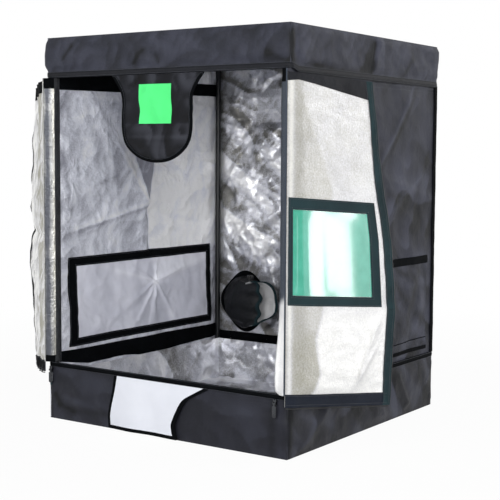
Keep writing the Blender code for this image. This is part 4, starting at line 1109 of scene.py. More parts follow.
def base_painted_shading(S, V):
    """Painted light and shade: a curved fold at the left of the sill, the shade beside the lower flap,
    darker marks at the right front corner, and lit and shaded facets on the sides and, fainter, the front.
    """
    front = ramp((FRONT_SPAN + 0.01 - S) / 0.02) * ramp((S + 0.01) / 0.02)
    shadow = 1.1 * np.exp(-np.abs(S - 0.370) / 0.050) * front
    corner = 1.1 * mound(S, FRONT_SPAN + 0.016, 0.007) + 0.6 * mound(S, FRONT_SPAN - 0.030, 0.010)
    facets = 0.45 + creases(S, V, BASE_LINES) + 0.90 * slope_shading(S + 0.7 * V, V, 0.22, 221, 2, (-0.8, 0.6))
    small = 0.20 * folds(S, V, 0.10, 223) + 0.25 * slope_shading(S, V, 0.18, 225, 2) * front
    return creases(S, V, SILL_LINES) + shadow + corner + (1 - front) * facets + small - 0.05 * front


hem_from = SILL_HIGH - SILL_HEM
sill_vs = np.concatenate([np.linspace(0.0005, hem_from, 22), np.linspace(hem_from, SILL_HIGH, 6)[1:]])
base_band = cloth("base_band", top_us, sill_vs, base_place, shaded_sill_cloth, painted_shade_and_tint=base_painted_shading)
base_hem = cloth("base_hem_tape", top_us, np.linspace(hem_from, SILL_HIGH + 0.0004, 6), base_place, black_tape,
                 0.0005, lift=SKIN / 2 + 0.0004)
hang(base_band, "tent", "black_cloth", ["sill_front"],
     pieces=hang_all([base_hem]))
print("wrap length:", round(total, 4))

# %% [markdown]
# ## The doorway's bindings
# A binding of tape runs down each front corner, over the tube behind it, and ends in the piping
# that the door leaf turns on. Its lining swells out.

# %% Bindings
AXIS_X, AXIS_Y = 0.3765, -0.392
FRONT_PLAN = ((0.3535, -0.3745), (0.3575, -0.3800), (0.3640, -0.3860), (0.3712, -0.3892), (0.3752, -0.3908))
TUBE_PLAN = ((0.3520, -0.3560), (0.3503, -0.3640), (0.3512, -0.3710), (0.3540, -0.3752), (0.3570, -0.3790))
RETURN_PLAN = ((0.3757, -0.3905), (0.3757, -0.3860), (0.3756, -0.3800), (0.3756, -0.3700))
BACK_PLAN = ((0.3776, 0.3590), (0.3776, 0.3750), (0.3772, 0.3776), (0.3590, 0.3776))
PIPING_RADIUS = 0.0016
JAMB_LOW, JAMB_HIGH = SILL_HIGH + 0.0006, HEADER_LOW - 0.0006
JAMB_STEP = 0.009
TAG_LIFT = SKIN / 2 + 0.0012


def smoothed(line, rounds=12):
    """A line with its corners rounded, each point but the ends moved to the mean of three."""
    for _ in range(rounds):
        line[1:-1] = (line[:-2] + line[1:-1] + line[2:]) / 3
    return line


def plan_place(side, points, bulge=0.0, seed=91):
    """A strip that follows a plan drawn for the right corner. bulge is how far it swells at the bottom."""
    plan = np.array(points)
    far = np.concatenate([[0], np.cumsum(np.hypot(*np.diff(plan, axis=0).T))])
    fine = np.linspace(0, 1, 41)
    smooth = smoothed(np.stack([np.interp(fine * far[-1], far, plan[:, i]) for i in (0, 1)], -1))

    def place(U, V):
        x, y = np.interp(U, fine, smooth[:, 0]), np.interp(U, fine, smooth[:, 1])
        middle = np.sin(math.pi * np.clip(U, 0, 1))
        low = mound(V, 0.19, 0.10) * ramp((V - SILL_HIGH) / 0.012)
        swell = bulge * middle * (0.25 + low) + 0.0008 * middle * folds(V, U, 0.05, seed)
        return np.stack([side * (x - 0.8 * swell), y - 0.6 * swell, V], -1)

    return place


def made_mesh(item, name):
    """The finished mesh of an item, which itself is removed."""
    mesh = bpy.data.meshes.new_from_object(item.evaluated_get(bpy.context.evaluated_depsgraph_get()))
    mesh.name = name
    bpy.data.objects.remove(item, do_unlink=True)
    return mesh


def tube_along(name, points, radius, sides, paint):
    """A smooth round tube along points, with its ends capped."""
    curve = bpy.data.curves.new(name, "CURVE")
    curve.dimensions = "3D"
    curve.bevel_depth, curve.bevel_resolution = radius, max(0, (sides - 4) // 2)
    curve.use_fill_caps = True
    line = curve.splines.new("POLY")
    line.points.add(len(points) - 1)
    line.points.foreach_set("co", np.concatenate([np.asarray(points), np.ones((len(points), 1))], 1).ravel())
    mesh = made_mesh(to_scene(bpy.data.objects.new(name + "_line", curve)), name)
    mesh.materials.clear()
    mesh.materials.append(paint)
    mesh.uv_layers.new(name="cloth")
    mesh.shade_smooth()
    return to_scene(bpy.data.objects.new(name, mesh))


def right_binding_colour_and_highlight(U, V):
    """The right binding shows its dark side down to the window's foot, and its lining below, with a
    painted highlight down the middle of the lining.
    """
    return ramp((V - 0.345 - 0.02 * U) / 0.02) - 0.8 * mound(U, 0.55, 0.20) * ramp((0.34 - V) / 0.03)


def left_binding_painted_shading(U, V):
    """The left binding is gathered into upright folds, with painted shade in their hollows, a painted
    highlight near its inner edge and small crumples of painted light and shade.
    """
    return (1.15 * mound(U - 0.05 * folds(V, U, 0.20, 231), 0.70, 0.34) - 0.9 * mound(U, 0.10, 0.07)
            + 0.3 * crumple(U * 0.03, V, 0.06, 233, 2))


def binding(side, word, paint, cord_paint, bulge, painted_shade_and_tint, low_end, high_end):
    """low_end and high_end are how much of the lining is covered by plain tape at its ends."""
    def strip(part, us, vs, plan, paints, swell=0.0, painted_shade_and_tint=None):
        return cloth(f"{word}_binding_{part}", np.linspace(0, 1, us), vs, plan_place(side, plan, swell), paints,
                     TAPE, painted_shade_and_tint=painted_shade_and_tint)

    zs = steps(JAMB_LOW, JAMB_HIGH, JAMB_STEP)
    lining = strip("lining", 13, steps(JAMB_LOW + low_end, JAMB_HIGH - high_end, JAMB_STEP), FRONT_PLAN, paint,
                   bulge, painted_shade_and_tint)
    spans = (("end_low", JAMB_LOW, JAMB_LOW + low_end), ("end_high", JAMB_HIGH - high_end, JAMB_HIGH))
    ends = [strip(part, 13, np.linspace(a, b, 4), FRONT_PLAN, black_tape) for part, a, b in spans if b > a]
    tube_side = strip("tape", 13, zs, TUBE_PLAN, jamb_tape)
    outer_side = strip("return", 7, zs, RETURN_PLAN, black_cloth)
    line = [(side * AXIS_X, AXIS_Y, z) for z in steps(SILL_HIGH + 0.001, HEADER_LOW - 0.001, 0.02)]
    piping = tube_along(f"{word}_piping", line, PIPING_RADIUS, 12, cord_paint)
    hang(lining, "tent", "black_tape", [f"{word}_door_binding"],
         pieces=hang_all([tube_side, outer_side, piping, *ends]))
    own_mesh(lining)


binding(1, "right", jamb_lining, slate_tape, 0.011, right_binding_colour_and_highlight, 0.0, 0.030)
binding(-1, "left", shaded_lining, shaded_lining, 0.003, left_binding_painted_shading, 0.018, 0.027)
back_zs = steps(SILL_HIGH, SIDE_LOW + 0.004, 0.02)
hang_all([cloth(f"{word}_back_corner_tape", np.linspace(0, 1, 25), back_zs, plan_place(side, BACK_PLAN),
                black_tape, TAPE) for side, word in ((1, "right"), (-1, "left"))])
tag_us = steps(-0.0095, 0.0005, 0.0025)
hang_all([cloth("seam_tag", tag_us, steps(0.097, 0.121, 0.004), base_place, flap_lining, 0.0006, TAG_LIFT),
          cloth("seam_tag_end", tag_us, steps(0.089, 0.0968, 0.003), base_place, dark_tape, 0.0006, TAG_LIFT)],
         slot="silver_lining")
print("bindings made")

# %% [markdown]
# ## The door leaves
# Each leaf is folded back from its corner. Its lining faces out, and tape with the zip is sewn
# round its free edges. The leaf is cut wider in the middle, and its free edge droops, because
# the zip is open. The same two functions place the cloth, its tapes, the window and the film.

# %% Leaf shape
LEAF_START = 0.0022
LEAF_WIDTH = 0.371
LEAF_TOP, LEAF_BOTTOM = 0.888, 0.127
TOP_FALL, BOTTOM_FALL = 0.016, 0.044
HEADINGS = {1: math.radians(76.0), -1: math.radians(40.5)}
LEAF_EDGE = through((0, 0.965), (0.06, 0.970), (0.17, 0.980), (0.30, 1.0), (0.52, 0.951), (0.705, 0.854),
                    (0.945, 0.765), (1, 0.745))


def leaf_width(V):
    return LEAF_WIDTH * LEAF_EDGE(V)


def hinge_bump(S):
    """The leaf rises a little where it leaves its piping."""
    return 0.003 * mound(S, 0.030, 0.020) * np.clip(S / 0.030, 0, 1)


def root_fold(S, V):
    """The right leaf swells out where it leaves its hem, more towards the bottom."""
    steep = 0.0030 * (1 - np.exp(-S / 0.006))
    slant = (0.0055 + 0.0045 * (1 - V)) * ramp(S / (0.045 + 0.030 * (1 - V)))
    back = ramp((0.330 - S) / 0.280)
    free = ramp((V - 0.020) / 0.04)
    return (steep + slant) * back * free + hinge_bump(S) * (1 - free)


LEAF_CREASES = (
    ((0.245, 0.10), (0.315, 0.26), 0.0030, 0.006, 0.012),
    ((0.225, 0.06), (0.300, 0.17), 0.0024, 0.006, 0.010),
    ((0.130, 0.27), (0.160, 0.12), 0.0016, 0.008, 0.016))


def leaf_fold(side, S, C, V):
    """How far a leaf stands out on its lining's side. C is a share of its width, and S the way itself."""
    wave = 0.0022 * (1 - np.cos(2 * math.pi * S / 0.160)) / 2
    if side > 0:
        small = 0.0012 * folds(S, V, 0.07, 101) + 0.0006 * folds(S, V, 0.03, 103)
        framed = inside(C, V, (-0.02, 0.93, 0.27, 0.67), 0.05)
        return root_fold(S, V) + 0.5 * wave + (small + creases(S, V, LEAF_CREASES)) * ramp(S / 0.05) * (1 - framed)
    small = 0.0045 * crumple(S, V * 0.6, 0.10, 105, 2) + 0.0035 * folds(S, V * 0.7, 0.06, 107)
    pinch = crease(S, V, (0.02, 0.46), (0.34, 0.50), -0.012, 0.025, 0.025)
    return hinge_bump(S) + wave + C * C * (0.014 * np.sin(math.pi * V) - 0.008) + (small + pinch) * ramp(S / 0.04)


def leaf_place(side):
    """Places shares of a leaf's width and height. The normal of us x vs is turned to the lining's side."""
    heading = HEADINGS[side]
    way = np.array((math.cos(heading), math.sin(heading)))
    out = np.array((math.sin(heading), -math.cos(heading)))

    def place(C, V):
        S = LEAF_START + C * (leaf_width(V) - LEAF_START)
        low = LEAF_BOTTOM - BOTTOM_FALL * S / LEAF_WIDTH
        high = LEAF_TOP - TOP_FALL * S / LEAF_WIDTH
        fold = leaf_fold(side, S, C, V)
        x = AXIS_X + way[0] * S + out[0] * fold
        y = AXIS_Y + way[1] * S + out[1] * fold
        return np.stack([side * x, y, low + V * (high - low)], -1)

    return place


SHADE_EDGE = through((0.0, 0.20), (0.05, 0.26), (0.10, 0.31), (0.155, 0.28), (0.21, 0.26), (0.27, 0.31),
                     (0.67, 0.46), (0.98, 0.12))
LEAF_LINES = (
    ((0.245, 0.10), (0.315, 0.26), 0.30, 0.004, 0.010),
    ((0.225, 0.06), (0.300, 0.17), 0.30, 0.004, 0.008))


def right_leaf_painted_shading(C, V):
    """Painted light and shade: the part next to the hinge turns from the light along a slanting edge,
    and is painted in a beige shade, as a painted reflection of the beige card. A line by the hinge
    and the lower part are painted paler, and two crease lines darker.
    """
    S = C * leaf_width(V)
    turned = ramp((SHADE_EDGE(V) - C) / 0.05)
    turned_shade = turned * (0.42 + 0.30 * ramp((0.27 - V) / 0.10)) + 0.16 * (1 - turned) * ramp((V - 0.66) / 0.05)
    white = -0.60 * ramp((0.34 - V) / 0.1) * (1 - turned)
    return turned_shade - 1.3 * mound(S, 0.010, 0.007) + creases(S, V, LEAF_LINES) + white + 0.10 * folds(S, V, 0.05, 241)


def left_leaf_painted_shading(C, V):
    """Seen nearly along its length, the left leaf is painted with upright stripes of light and shade,
    and with lit and shaded facets.
    """
    shaded_stripes = 1.3 * mound(C, 0.19, 0.13) - 0.9 * mound(C, 0.80, 0.15) + 0.5 * mound(C, 0.99, 0.03)
    return shaded_stripes + 0.9 * slope_shading(C, V, 0.26, 243, 3)


LEAF_PAINTED_SHADING = {1: right_leaf_painted_shading, -1: left_leaf_painted_shading}
MAP_SIZE = (0.34, 0.77)


def leaf_cloth(name, side, us, vs, paints, thick=SKIN, lift=0.0, holes=()):
    """lift is towards the lining. Widths and heights are shares, and the map is put in metres."""
    made = cloth(name, us, vs, leaf_place(side), paints, thick, side * lift, holes, painted_shade_and_tint=LEAF_PAINTED_SHADING[side])
    uv = made.data.uv_layers["cloth"].data
    values = np.zeros(2 * len(uv), np.float32)
    uv.foreach_get("uv", values)
    uv.foreach_set("uv", (values.reshape(-1, 2) * MAP_SIZE).astype(np.float32).ravel())
    return made


# %% [markdown]
# The right leaf has a hole for its window. Zip tape lies on both faces of each leaf, along its
# free edge, its top and its bottom.

# %% Leaves and their tapes
WINDOW_IN = (0.045, 0.785, 0.339, 0.597)
WINDOW_OUT = (0.012, 0.875, 0.309, 0.632)
WINDOW_COVER = (0.030, 0.860, 0.316, 0.612)
LEAF_SIZE, LEAF_HIGH = (0.371, 0.789), 0.776
EDGE_TAPE, BOTTOM_TAPE = 0.027, 0.031
leaf_us, leaf_vs = steps(0, 1, 0.0105, WINDOW_IN[:2]), steps(0, 1, 0.0052, WINDOW_IN[2:])
right_leaf = leaf_cloth("right_leaf_cloth", 1, leaf_us, leaf_vs, (leaf_lining, black_cloth), holes=[WINDOW_IN])
left_leaf = leaf_cloth("left_leaf_cloth", -1, leaf_us, leaf_vs, (black_cloth, leaf_lining))


def leaf_tapes(side, word, free_width, paints, top_width):
    """Zip tape along the free edge, the top and the bottom of a leaf, on both of its faces. paints
    are theirs in that order, and top_width is the top tape's width along the leaf."""
    base = leaf_place(side)
    across, down, along = np.linspace(0, 1, 6), steps(-0.001, 1.001, 0.0085), steps(0, 0.99, 0.018)

    def free(U, V):
        return 1.003 - (1 - U) * free_width * np.interp(V, (0, 0.7, 0.93, 1), (1, 1, 0.70, 0.85)) / leaf_width(V), V

    def top(U, V):
        return U, 1.001 - (1 - V) * top_width(U) / LEAF_HIGH

    def bottom(U, V):
        return U, -0.001 + V * BOTTOM_TAPE / LEAF_HIGH

    made = []
    layouts = (("free", across, down, free, 0.0004), ("top", along, across, top, 0.0),
               ("bottom", along, across, bottom, 0.0))
    for (name, us, vs, to_share, extra), paint in zip(layouts, paints):
        for face, way in (("lining", 1), ("cover", -1)):
            lift = side * way * (SKIN / 2 + TAPE / 2 + GAP + extra)
            made.append(cloth(f"{word}_leaf_{name}_tape_{face}", us, vs, lambda U, V: base(*to_share(U, V)), paint,
                              TAPE, lift))
    return hang_all(made, f"{word}_leaf")


right_tapes = leaf_tapes(1, "right", EDGE_TAPE, (dark_tape, hem_cloth, navy_tape),
                         through((0.0, 0.020), (0.10, 0.016), (1.0, 0.046)))
left_tapes = leaf_tapes(-1, "left", EDGE_TAPE * 0.35, (black_tape,) * 3, through((0.0, 0.030), (1.0, 0.034)))
LEAF_AREA = float(leaf_width(np.linspace(0, 1, 101)).mean()) * LEAF_HIGH
WINDOW_AREA = float((leaf_width(np.array(0.46)) * 0.74) * (0.258 * LEAF_HIGH))
hang(left_leaf, "left_leaf", "silver_lining", ["left_door_leaf"],
     pieces=left_tapes)
hang(right_leaf, "right_leaf", "silver_lining", ["right_door_leaf"],
     pieces=right_tapes)
print("leaf area:", round(LEAF_AREA, 4))

# %% [markdown]
# The window of the right leaf is a soft green film in a frame of tape, with a cover behind it
# that hangs from a strip of hook and loop.

# %% Window
FRAME_LIFT = SKIN / 2 + 0.0005 + GAP * 2
COVER_LIFT = SKIN + 0.0006
CLOSING_THICK = 0.0015
SLIP = 0.0008
FILM_SWELL = 0.0006
window_tape = leaf_cloth("window_tape", 1, steps(*WINDOW_OUT[:2], 0.018, WINDOW_IN[:2]),
                         steps(*WINDOW_OUT[2:], 0.0085, WINDOW_IN[2:]), dark_tape, SKIN, FRAME_LIFT, [WINDOW_IN])
hang(window_tape, "right_leaf", "black_tape", ["window_frame"])


def film_place(C, V):
    """The film follows the leaf, with one upright fold near the hinge side and a soft swell in its middle."""
    fold = 0.0012 * mound(C, 0.070, 0.007)
    swell = FILM_SWELL * np.cos(math.pi * (C - 0.50) / 0.30) * ramp((C - 0.30) / 0.1)
    swell = swell + 0.0009 * folds(C, V, 0.60, 141)
    out = np.array((math.sin(HEADINGS[1]), -math.cos(HEADINGS[1]), 0.0))
    return leaf_place(1)(C, V) + out * ((fold + swell) * inside(C, V, WINDOW_IN, 0.04))[..., None]


film = cloth("window_film_sheet", np.linspace(WINDOW_IN[0] + SLIP, WINDOW_IN[1] - SLIP, 121),
             np.linspace(WINDOW_IN[2] + SLIP, WINDOW_IN[3] - SLIP, 61), film_place, green_film, 0.0006)
hang(film, "right_leaf", "green_film", ["window_film"])
cover_us = steps(*WINDOW_COVER[:2], 0.018)
cover = leaf_cloth("window_cover_cloth", 1, cover_us, steps(*WINDOW_COVER[2:], 0.0085), (leaf_lining, black_cloth),
                   SKIN, -COVER_LIFT)
hang(cover, "right_leaf", "black_cloth", ["window_cover"])
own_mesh(cover)
strip = leaf_cloth("window_closing_strip", 1, cover_us, np.linspace(WINDOW_COVER[3] + 0.0008, 0.640, 4), black_tape,
                   CLOSING_THICK, -(SKIN / 2 + 0.0006 + CLOSING_THICK / 2))
hang(strip, "right_window_strip", "black_tape", ["window_cover_strip"])
print("window made")

# %% [markdown]
# ## The zip flaps
# A round-ended flap hangs from the header and a shorter one lies over the sill. In use they
# cover the zip's ends. The upper one is black, with piping round its edge and a plain green
# patch. The lower one shows its pale lining, inside a black binding.

# %% Upper flap
FLAP_Y = -0.3783
FLAP_TOP = 0.8962
TONGUE_X = -0.007
NECK, ROUND, LONG = 0.062, 0.079, 0.214
HALF_WIDE, ROOT_WIDE = 0.108, 0.143
EDGE_DEPTHS = np.array([-0.0012, 0.002, 0.005, 0.0085])
PATCH = (-0.063, 0.037, 0.024, 0.120)


def tongue_half(drop):
    """Half the flap's width at a drop below its root."""
    neck = ROOT_WIDE + (HALF_WIDE - ROOT_WIDE) * np.sin(np.clip(drop / NECK, 0, 1) * math.pi / 2)
    end = HALF_WIDE * np.sqrt(np.clip(1 - ((drop - (LONG - ROUND)) / ROUND) ** 2, 0.0004, 1))
    return np.where(drop <= LONG - ROUND, neck, end)


def tongue_front(x, D, forward=0.0):
    """Points of the flap from places across and drops below its root."""
    wave = 0.003 * (D / LONG) * (1 - np.cos(math.pi * (x - TONGUE_X) / HALF_WIDE)) / 2
    rough = 0.0022 * folds(x, D, 0.06, 111) + 0.0012 * crumple(x, D, 0.05, 113, 2)
    return np.stack([x, FLAP_Y - wave - rough * ramp(D / 0.03) - 0.0006 - forward, FLAP_TOP - D], -1)


def tongue_place(C, D):
    return tongue_front(TONGUE_X + C * tongue_half(D), D)


def tongue_painted_shading(C, D):
    """Painted light and shade: soft lit and shaded facets, two paler lines at the seams across the
    lower half, and painted shade in two short folds.
    """
    x = C * tongue_half(D)
    seams = -0.5 * mound(D, 0.152, 0.0025) - 0.4 * mound(D, 0.172, 0.0025)
    return (0.75 * slope_shading(x + 0.3 * D, D, 0.12, 251, 2, (-0.7, 0.7)) + 0.25 * folds(x, D, 0.05, 253) + seams
            + crease(x, D, (-0.085, 0.030), (-0.060, 0.012), 0.8, 0.003, 0.003)
            + crease(x, D, (-0.105, 0.140), (-0.070, 0.120), 0.6, 0.003, 0.003))


drops = LONG - ROUND + ROUND * np.sin(np.linspace(0, math.pi / 2, 15))
drops = np.concatenate([np.linspace(0, LONG - ROUND, 22)[:-1], drops])
tongue = cloth("upper_flap_cloth", np.linspace(-1, 1, 49), drops, tongue_place, flap_cloth, painted_shade_and_tint=tongue_painted_shading)
down_left = np.stack([TONGUE_X - tongue_half(drops), drops], -1)
up_right = np.stack([TONGUE_X + tongue_half(drops), drops], -1)[::-1]
outline = np.concatenate([down_left, up_right])
lengths = np.concatenate([[0], np.cumsum(np.hypot(*np.diff(outline, axis=0).T))])
even = np.linspace(0, lengths[-1], 161)
outline = np.stack([np.interp(even, lengths, outline[:, i]) for i in (0, 1)], -1)
ahead = np.gradient(outline, axis=0)
inward = np.stack([ahead[:, 1], -ahead[:, 0]], -1) / np.linalg.norm(ahead, axis=1, keepdims=True)
edge_shares = np.linspace(0, 1, len(outline))


def tongue_edge(forward):
    """A strip that follows the flap's outline, forward of it or behind it."""
    def place(U, V):
        x, drop = (np.interp(U, edge_shares, outline[:, i]) + V * np.interp(U, edge_shares, inward[:, i])
                   for i in (0, 1))
        return tongue_front(x, np.clip(drop, 0.0005, LONG + 0.002), forward)

    return place


def patch_place(U, D):
    """The patch hangs on the flap, and its sides are pushed over towards the bottom."""
    wavy = U + 0.0045 * mound((D - PATCH[2]) / (PATCH[3] - PATCH[2]), 0.72, 0.22)
    return tongue_place((wavy - TONGUE_X) / tongue_half(D), D)


flap_edges = hang_all([cloth(f"upper_flap_edge_{word}", edge_shares, EDGE_DEPTHS, tongue_edge(forward), black_tape,
                             TAPE) for word, forward in (("front", 0.0012), ("back", -0.0012))], "upper_flap")
patch = cloth("upper_flap_patch", steps(*PATCH[:2], 0.005), steps(*PATCH[2:], 0.005), patch_place, patch_cloth,
              0.0006, lift=-(SKIN / 2 + 0.0006))
hang(patch, "upper_flap", "green_patch", ["zip_flap_patch"])
hang(tongue, "upper_flap", "black_cloth", ["upper_zip_flap"],
     pieces=[*flap_edges, patch])
print("upper flap drop:", LONG)

# %% Lower flap
LOW_ROOT = 0.1392
LOW_LENGTH = LOW_ROOT - 0.003
LOW_LEFT, LOW_WIDE = -0.146, 0.285
LOW_TAPE, LOW_TAPE_RIGHT = 0.030, 0.060
LOW_ROWS = (0.0, 0.08, 0.25, 0.38, 0.56, 0.75, 0.90, 1.0)
LOW_LEFTS = (0.0, -0.006, -0.018, -0.032, -0.055, -0.074, -0.070, -0.067)
LOW_RIGHTS = (1.0, 0.93, 0.78, 0.735, 0.690, 0.653, 0.667, 0.688)


def smooth_through(values):
    """A smooth line through values at the flap's rows."""
    fine = np.linspace(0, 1, 101)
    line = smoothed(np.interp(fine, LOW_ROWS, values))
    return lambda D: np.interp(D, fine, line)


low_left, low_right = smooth_through(LOW_LEFTS), smooth_through(LOW_RIGHTS)


def low_flap_place(A, D):
    """Places from shares across the flap and shares of its drop."""
    x = LOW_LEFT + LOW_WIDE * (low_left(D) + (low_right(D) - low_left(D)) * A)
    wave = 0.004 * D * (1 - np.cos(3 * math.pi * A)) / 2
    rough = 0.0010 * folds(x, D * LOW_LENGTH, 0.06, 121) * D
    return np.stack([x, FLAP_Y - 0.0004 - wave - np.abs(rough), LOW_ROOT - D * LOW_LENGTH], -1)


across_flap, down_flap = np.linspace(0, 1, 41), np.linspace(0, 1, 23)
low_flap = cloth("lower_flap_cloth", across_flap, down_flap, low_flap_place, (black_cloth, flap_lining))
low_tapes = [cloth(f"lower_flap_{word}_tape", us, vs, low_flap_place, black_tape, 0.0022)
             for word, us, vs in (("left", np.linspace(-0.004, LOW_TAPE, 4), down_flap),
                                  ("right", np.linspace(0.99, 0.99 + LOW_TAPE_RIGHT, 5), down_flap),
                                  ("bottom", np.linspace(0, 1.03, 41), np.linspace(0.945, 1.010, 4)))]
even_drops = np.linspace(0, 1, 99)
low_area = float((low_right(even_drops) - low_left(even_drops)).mean()) * LOW_WIDE * LOW_LENGTH
hang(low_flap, "lower_flap", "silver_lining", ["lower_zip_flap"],
     pieces=hang_all(low_tapes, "lower_flap"))
print("lower flap area:", round(low_area, 4))

# %% [markdown]
# ## The duct sleeves
# A sleeve of black cloth is sewn into the back wall low at the left, inside the tent, and a
# second one outside, high at the right. Each is a tube of cloth that sags and crumples, lined
# with grey, with a dark tape round its mouth and a drawcord with a lock.

# %% Duct sleeves
SLEEVE_WALL = 0.0012
STRAIGHT = 0.35


def unit(way):
    return way / np.linalg.norm(way, axis=-1, keepdims=True)


def sleeve_place(centre, outward, reach, mouth, droop, seed, collapse):
    """Places turns round a sleeve and shares of its length. collapse is how far one side of its
    mouth has fallen in."""
    centre, outward, reach = (np.array(a, float) for a in (centre, outward, reach))
    length = np.linalg.norm(reach)
    end = unit(outward * STRAIGHT + reach / length)

    def place(A, T):
        T3 = T[..., None]
        middle = (centre + outward * (GAP + SKIN * (1 - T3)) + reach * T3
                  + outward * length * STRAIGHT * 2 * T3 * (1 - T3))
        way = unit(outward * (1 - T3) + end * T3)
        across = unit(np.cross(way, np.array((0, 0, 1.0))))
        up = np.cross(across, way)
        angle = 2 * math.pi * A
        gather = np.sin(math.pi * np.clip(T, 0, 1))
        lobes = 0.06 * np.cos(2 * angle + 0.6) + 0.050 * np.cos(5 * angle + 1.0)
        radius = PORT * (1 - T) + mouth * T + 0.0025 * gather * np.sin(7 * angle + T)
        radius = radius * (1 + ramp(T / 0.5) * lobes)
        radius = radius + 0.0045 * gather * folds(np.cos(angle) * 1.2 + 3, np.sin(angle) * 1.2 + T * 2.2, 0.6, seed)
        c, s = np.cos(angle) * radius, np.sin(angle) * radius
        folded = collapse * ramp(T) * ramp(np.cos(angle) / 0.25)
        facing = np.clip(np.cos(angle), 0, 1)
        pleats = 0.0040 * np.sin(9 * angle + 3 * T) * facing + 0.0030 * folds(angle, T * 2, 0.7, seed + 2)
        c = c * (1 - folded) + (pleats - 0.020 * facing) * folded
        throat = 0.62 * collapse * np.sin(math.pi * np.clip(T / 0.75, 0, 1)) * ramp(-np.cos(angle) / 0.5)
        c = c * (1 - throat)
        sag = -droop * gather * np.clip(np.sin(angle), 0, 1) ** 2
        return middle + across * c[..., None] + up * s[..., None] + np.array((0, 0, 1.0)) * sag[..., None]

    return place


def sleeve(name, centre, outward, reach, mouth, seed, collapse=0.0, droop=0.006):
    """A sleeve from its port to its mouth, with a flange on the wall and a tape round the mouth."""
    place = sleeve_place(centre, outward, reach, mouth, droop, seed, collapse)
    turns = np.linspace(0, 1, 145)

    def flange_place(A, T):
        angle = 2 * math.pi * A
        radius = PORT - 0.001 + T * (0.012 + 0.006 * np.cos(4 * angle))
        base = np.array(centre) + np.array(outward) * (GAP + SKIN / 2)
        x, z = base[0] + np.cos(angle) * radius * (-outward[1]), base[2] + np.sin(angle) * radius
        return np.stack([x, np.full_like(x, base[1]), z], -1)

    body = cloth(name + "_cloth", turns, np.linspace(0, 1, 25), place, (grey_lining, sleeve_cloth), SLEEVE_WALL)
    parts = hang_all([cloth(name + "_flange", turns, np.linspace(0, 1, 4), flange_place, black_tape, SKIN),
                      cloth(name + "_mouth_tape", turns, np.linspace(0.91, 1.004, 4), place, dark_tape, 0.0030)])
    hang(body, "tent", "black_cloth", [name],
         pieces=parts)


sleeve("intake_sleeve", (INTAKE[0], WIDE - SKIN, INTAKE[1]), (0, -1, 0), (0.104, -0.108, 0.014), 0.069, 131,
       collapse=1.0)
sleeve("exhaust_sleeve", (EXHAUST[0], WIDE, EXHAUST[1]), (0, 1, 0), (0.0, 0.085, -0.022), 0.062, 137)
print("sleeves made")

# %% [markdown]
# ## Drawcords
# Each drawcord is a short loop that comes out at the sleeve's rim, passes a cord lock and turns
# back. Both ends go into the hem, and the loop lies on the sleeve or hangs down.

# %% Drawcords
CORD_RADIUS, CORD_RUN, CORD_SPREAD = 0.0014, 0.062, 0.0085
LOCK_HALF = 0.018
INTAKE_LOCK, EXHAUST_LOCK = np.array((-0.18481, 0.28419, 0.33338)), np.array((0.190, 0.44872, 0.67879))
INTAKE_WAY, EXHAUST_WAY = np.array((-0.656516, 0.75004, -0.080164)), np.array((0.0, 0.0, -1.0))


def loop_points(start, way, across):
    half = CORD_SPREAD / 2
    out = [start + across * half + way * r for r in np.linspace(0, CORD_RUN, 12)[:-1]]
    bend = [start + way * (CORD_RUN + half * math.sin(a)) + across * (half * math.cos(a))
            for a in np.linspace(0, math.pi, 13)]
    back = [start - across * half + way * r for r in np.linspace(CORD_RUN, 0, 12)[1:]]
    return out + bend + back


for word, lock, way, across in (("intake", INTAKE_LOCK, INTAKE_WAY, unit(np.cross(INTAKE_WAY, (0, 0, 1)))),
                                ("exhaust", EXHAUST_LOCK, EXHAUST_WAY, np.array((1.0, 0.0, 0.0)))):
    points = loop_points(lock - way * LOCK_HALF, way, across)
    cord = tube_along(f"{word}_cord_loop", points, CORD_RADIUS, 10, braided_cord)
    hang(cord, "tent", "black_cord", [f"{word}_drawcord"])
print("drawcords made")

# %% [markdown]
# ## Stitches and zip teeth
# Sewn lines and the zip are small things repeated along a path, so one node tree makes them all.
# It turns a line into a curve, puts a point on it every pitch, and sets a small block on each
# point, turned along the line and away from the cloth. The result is kept as a plain mesh.

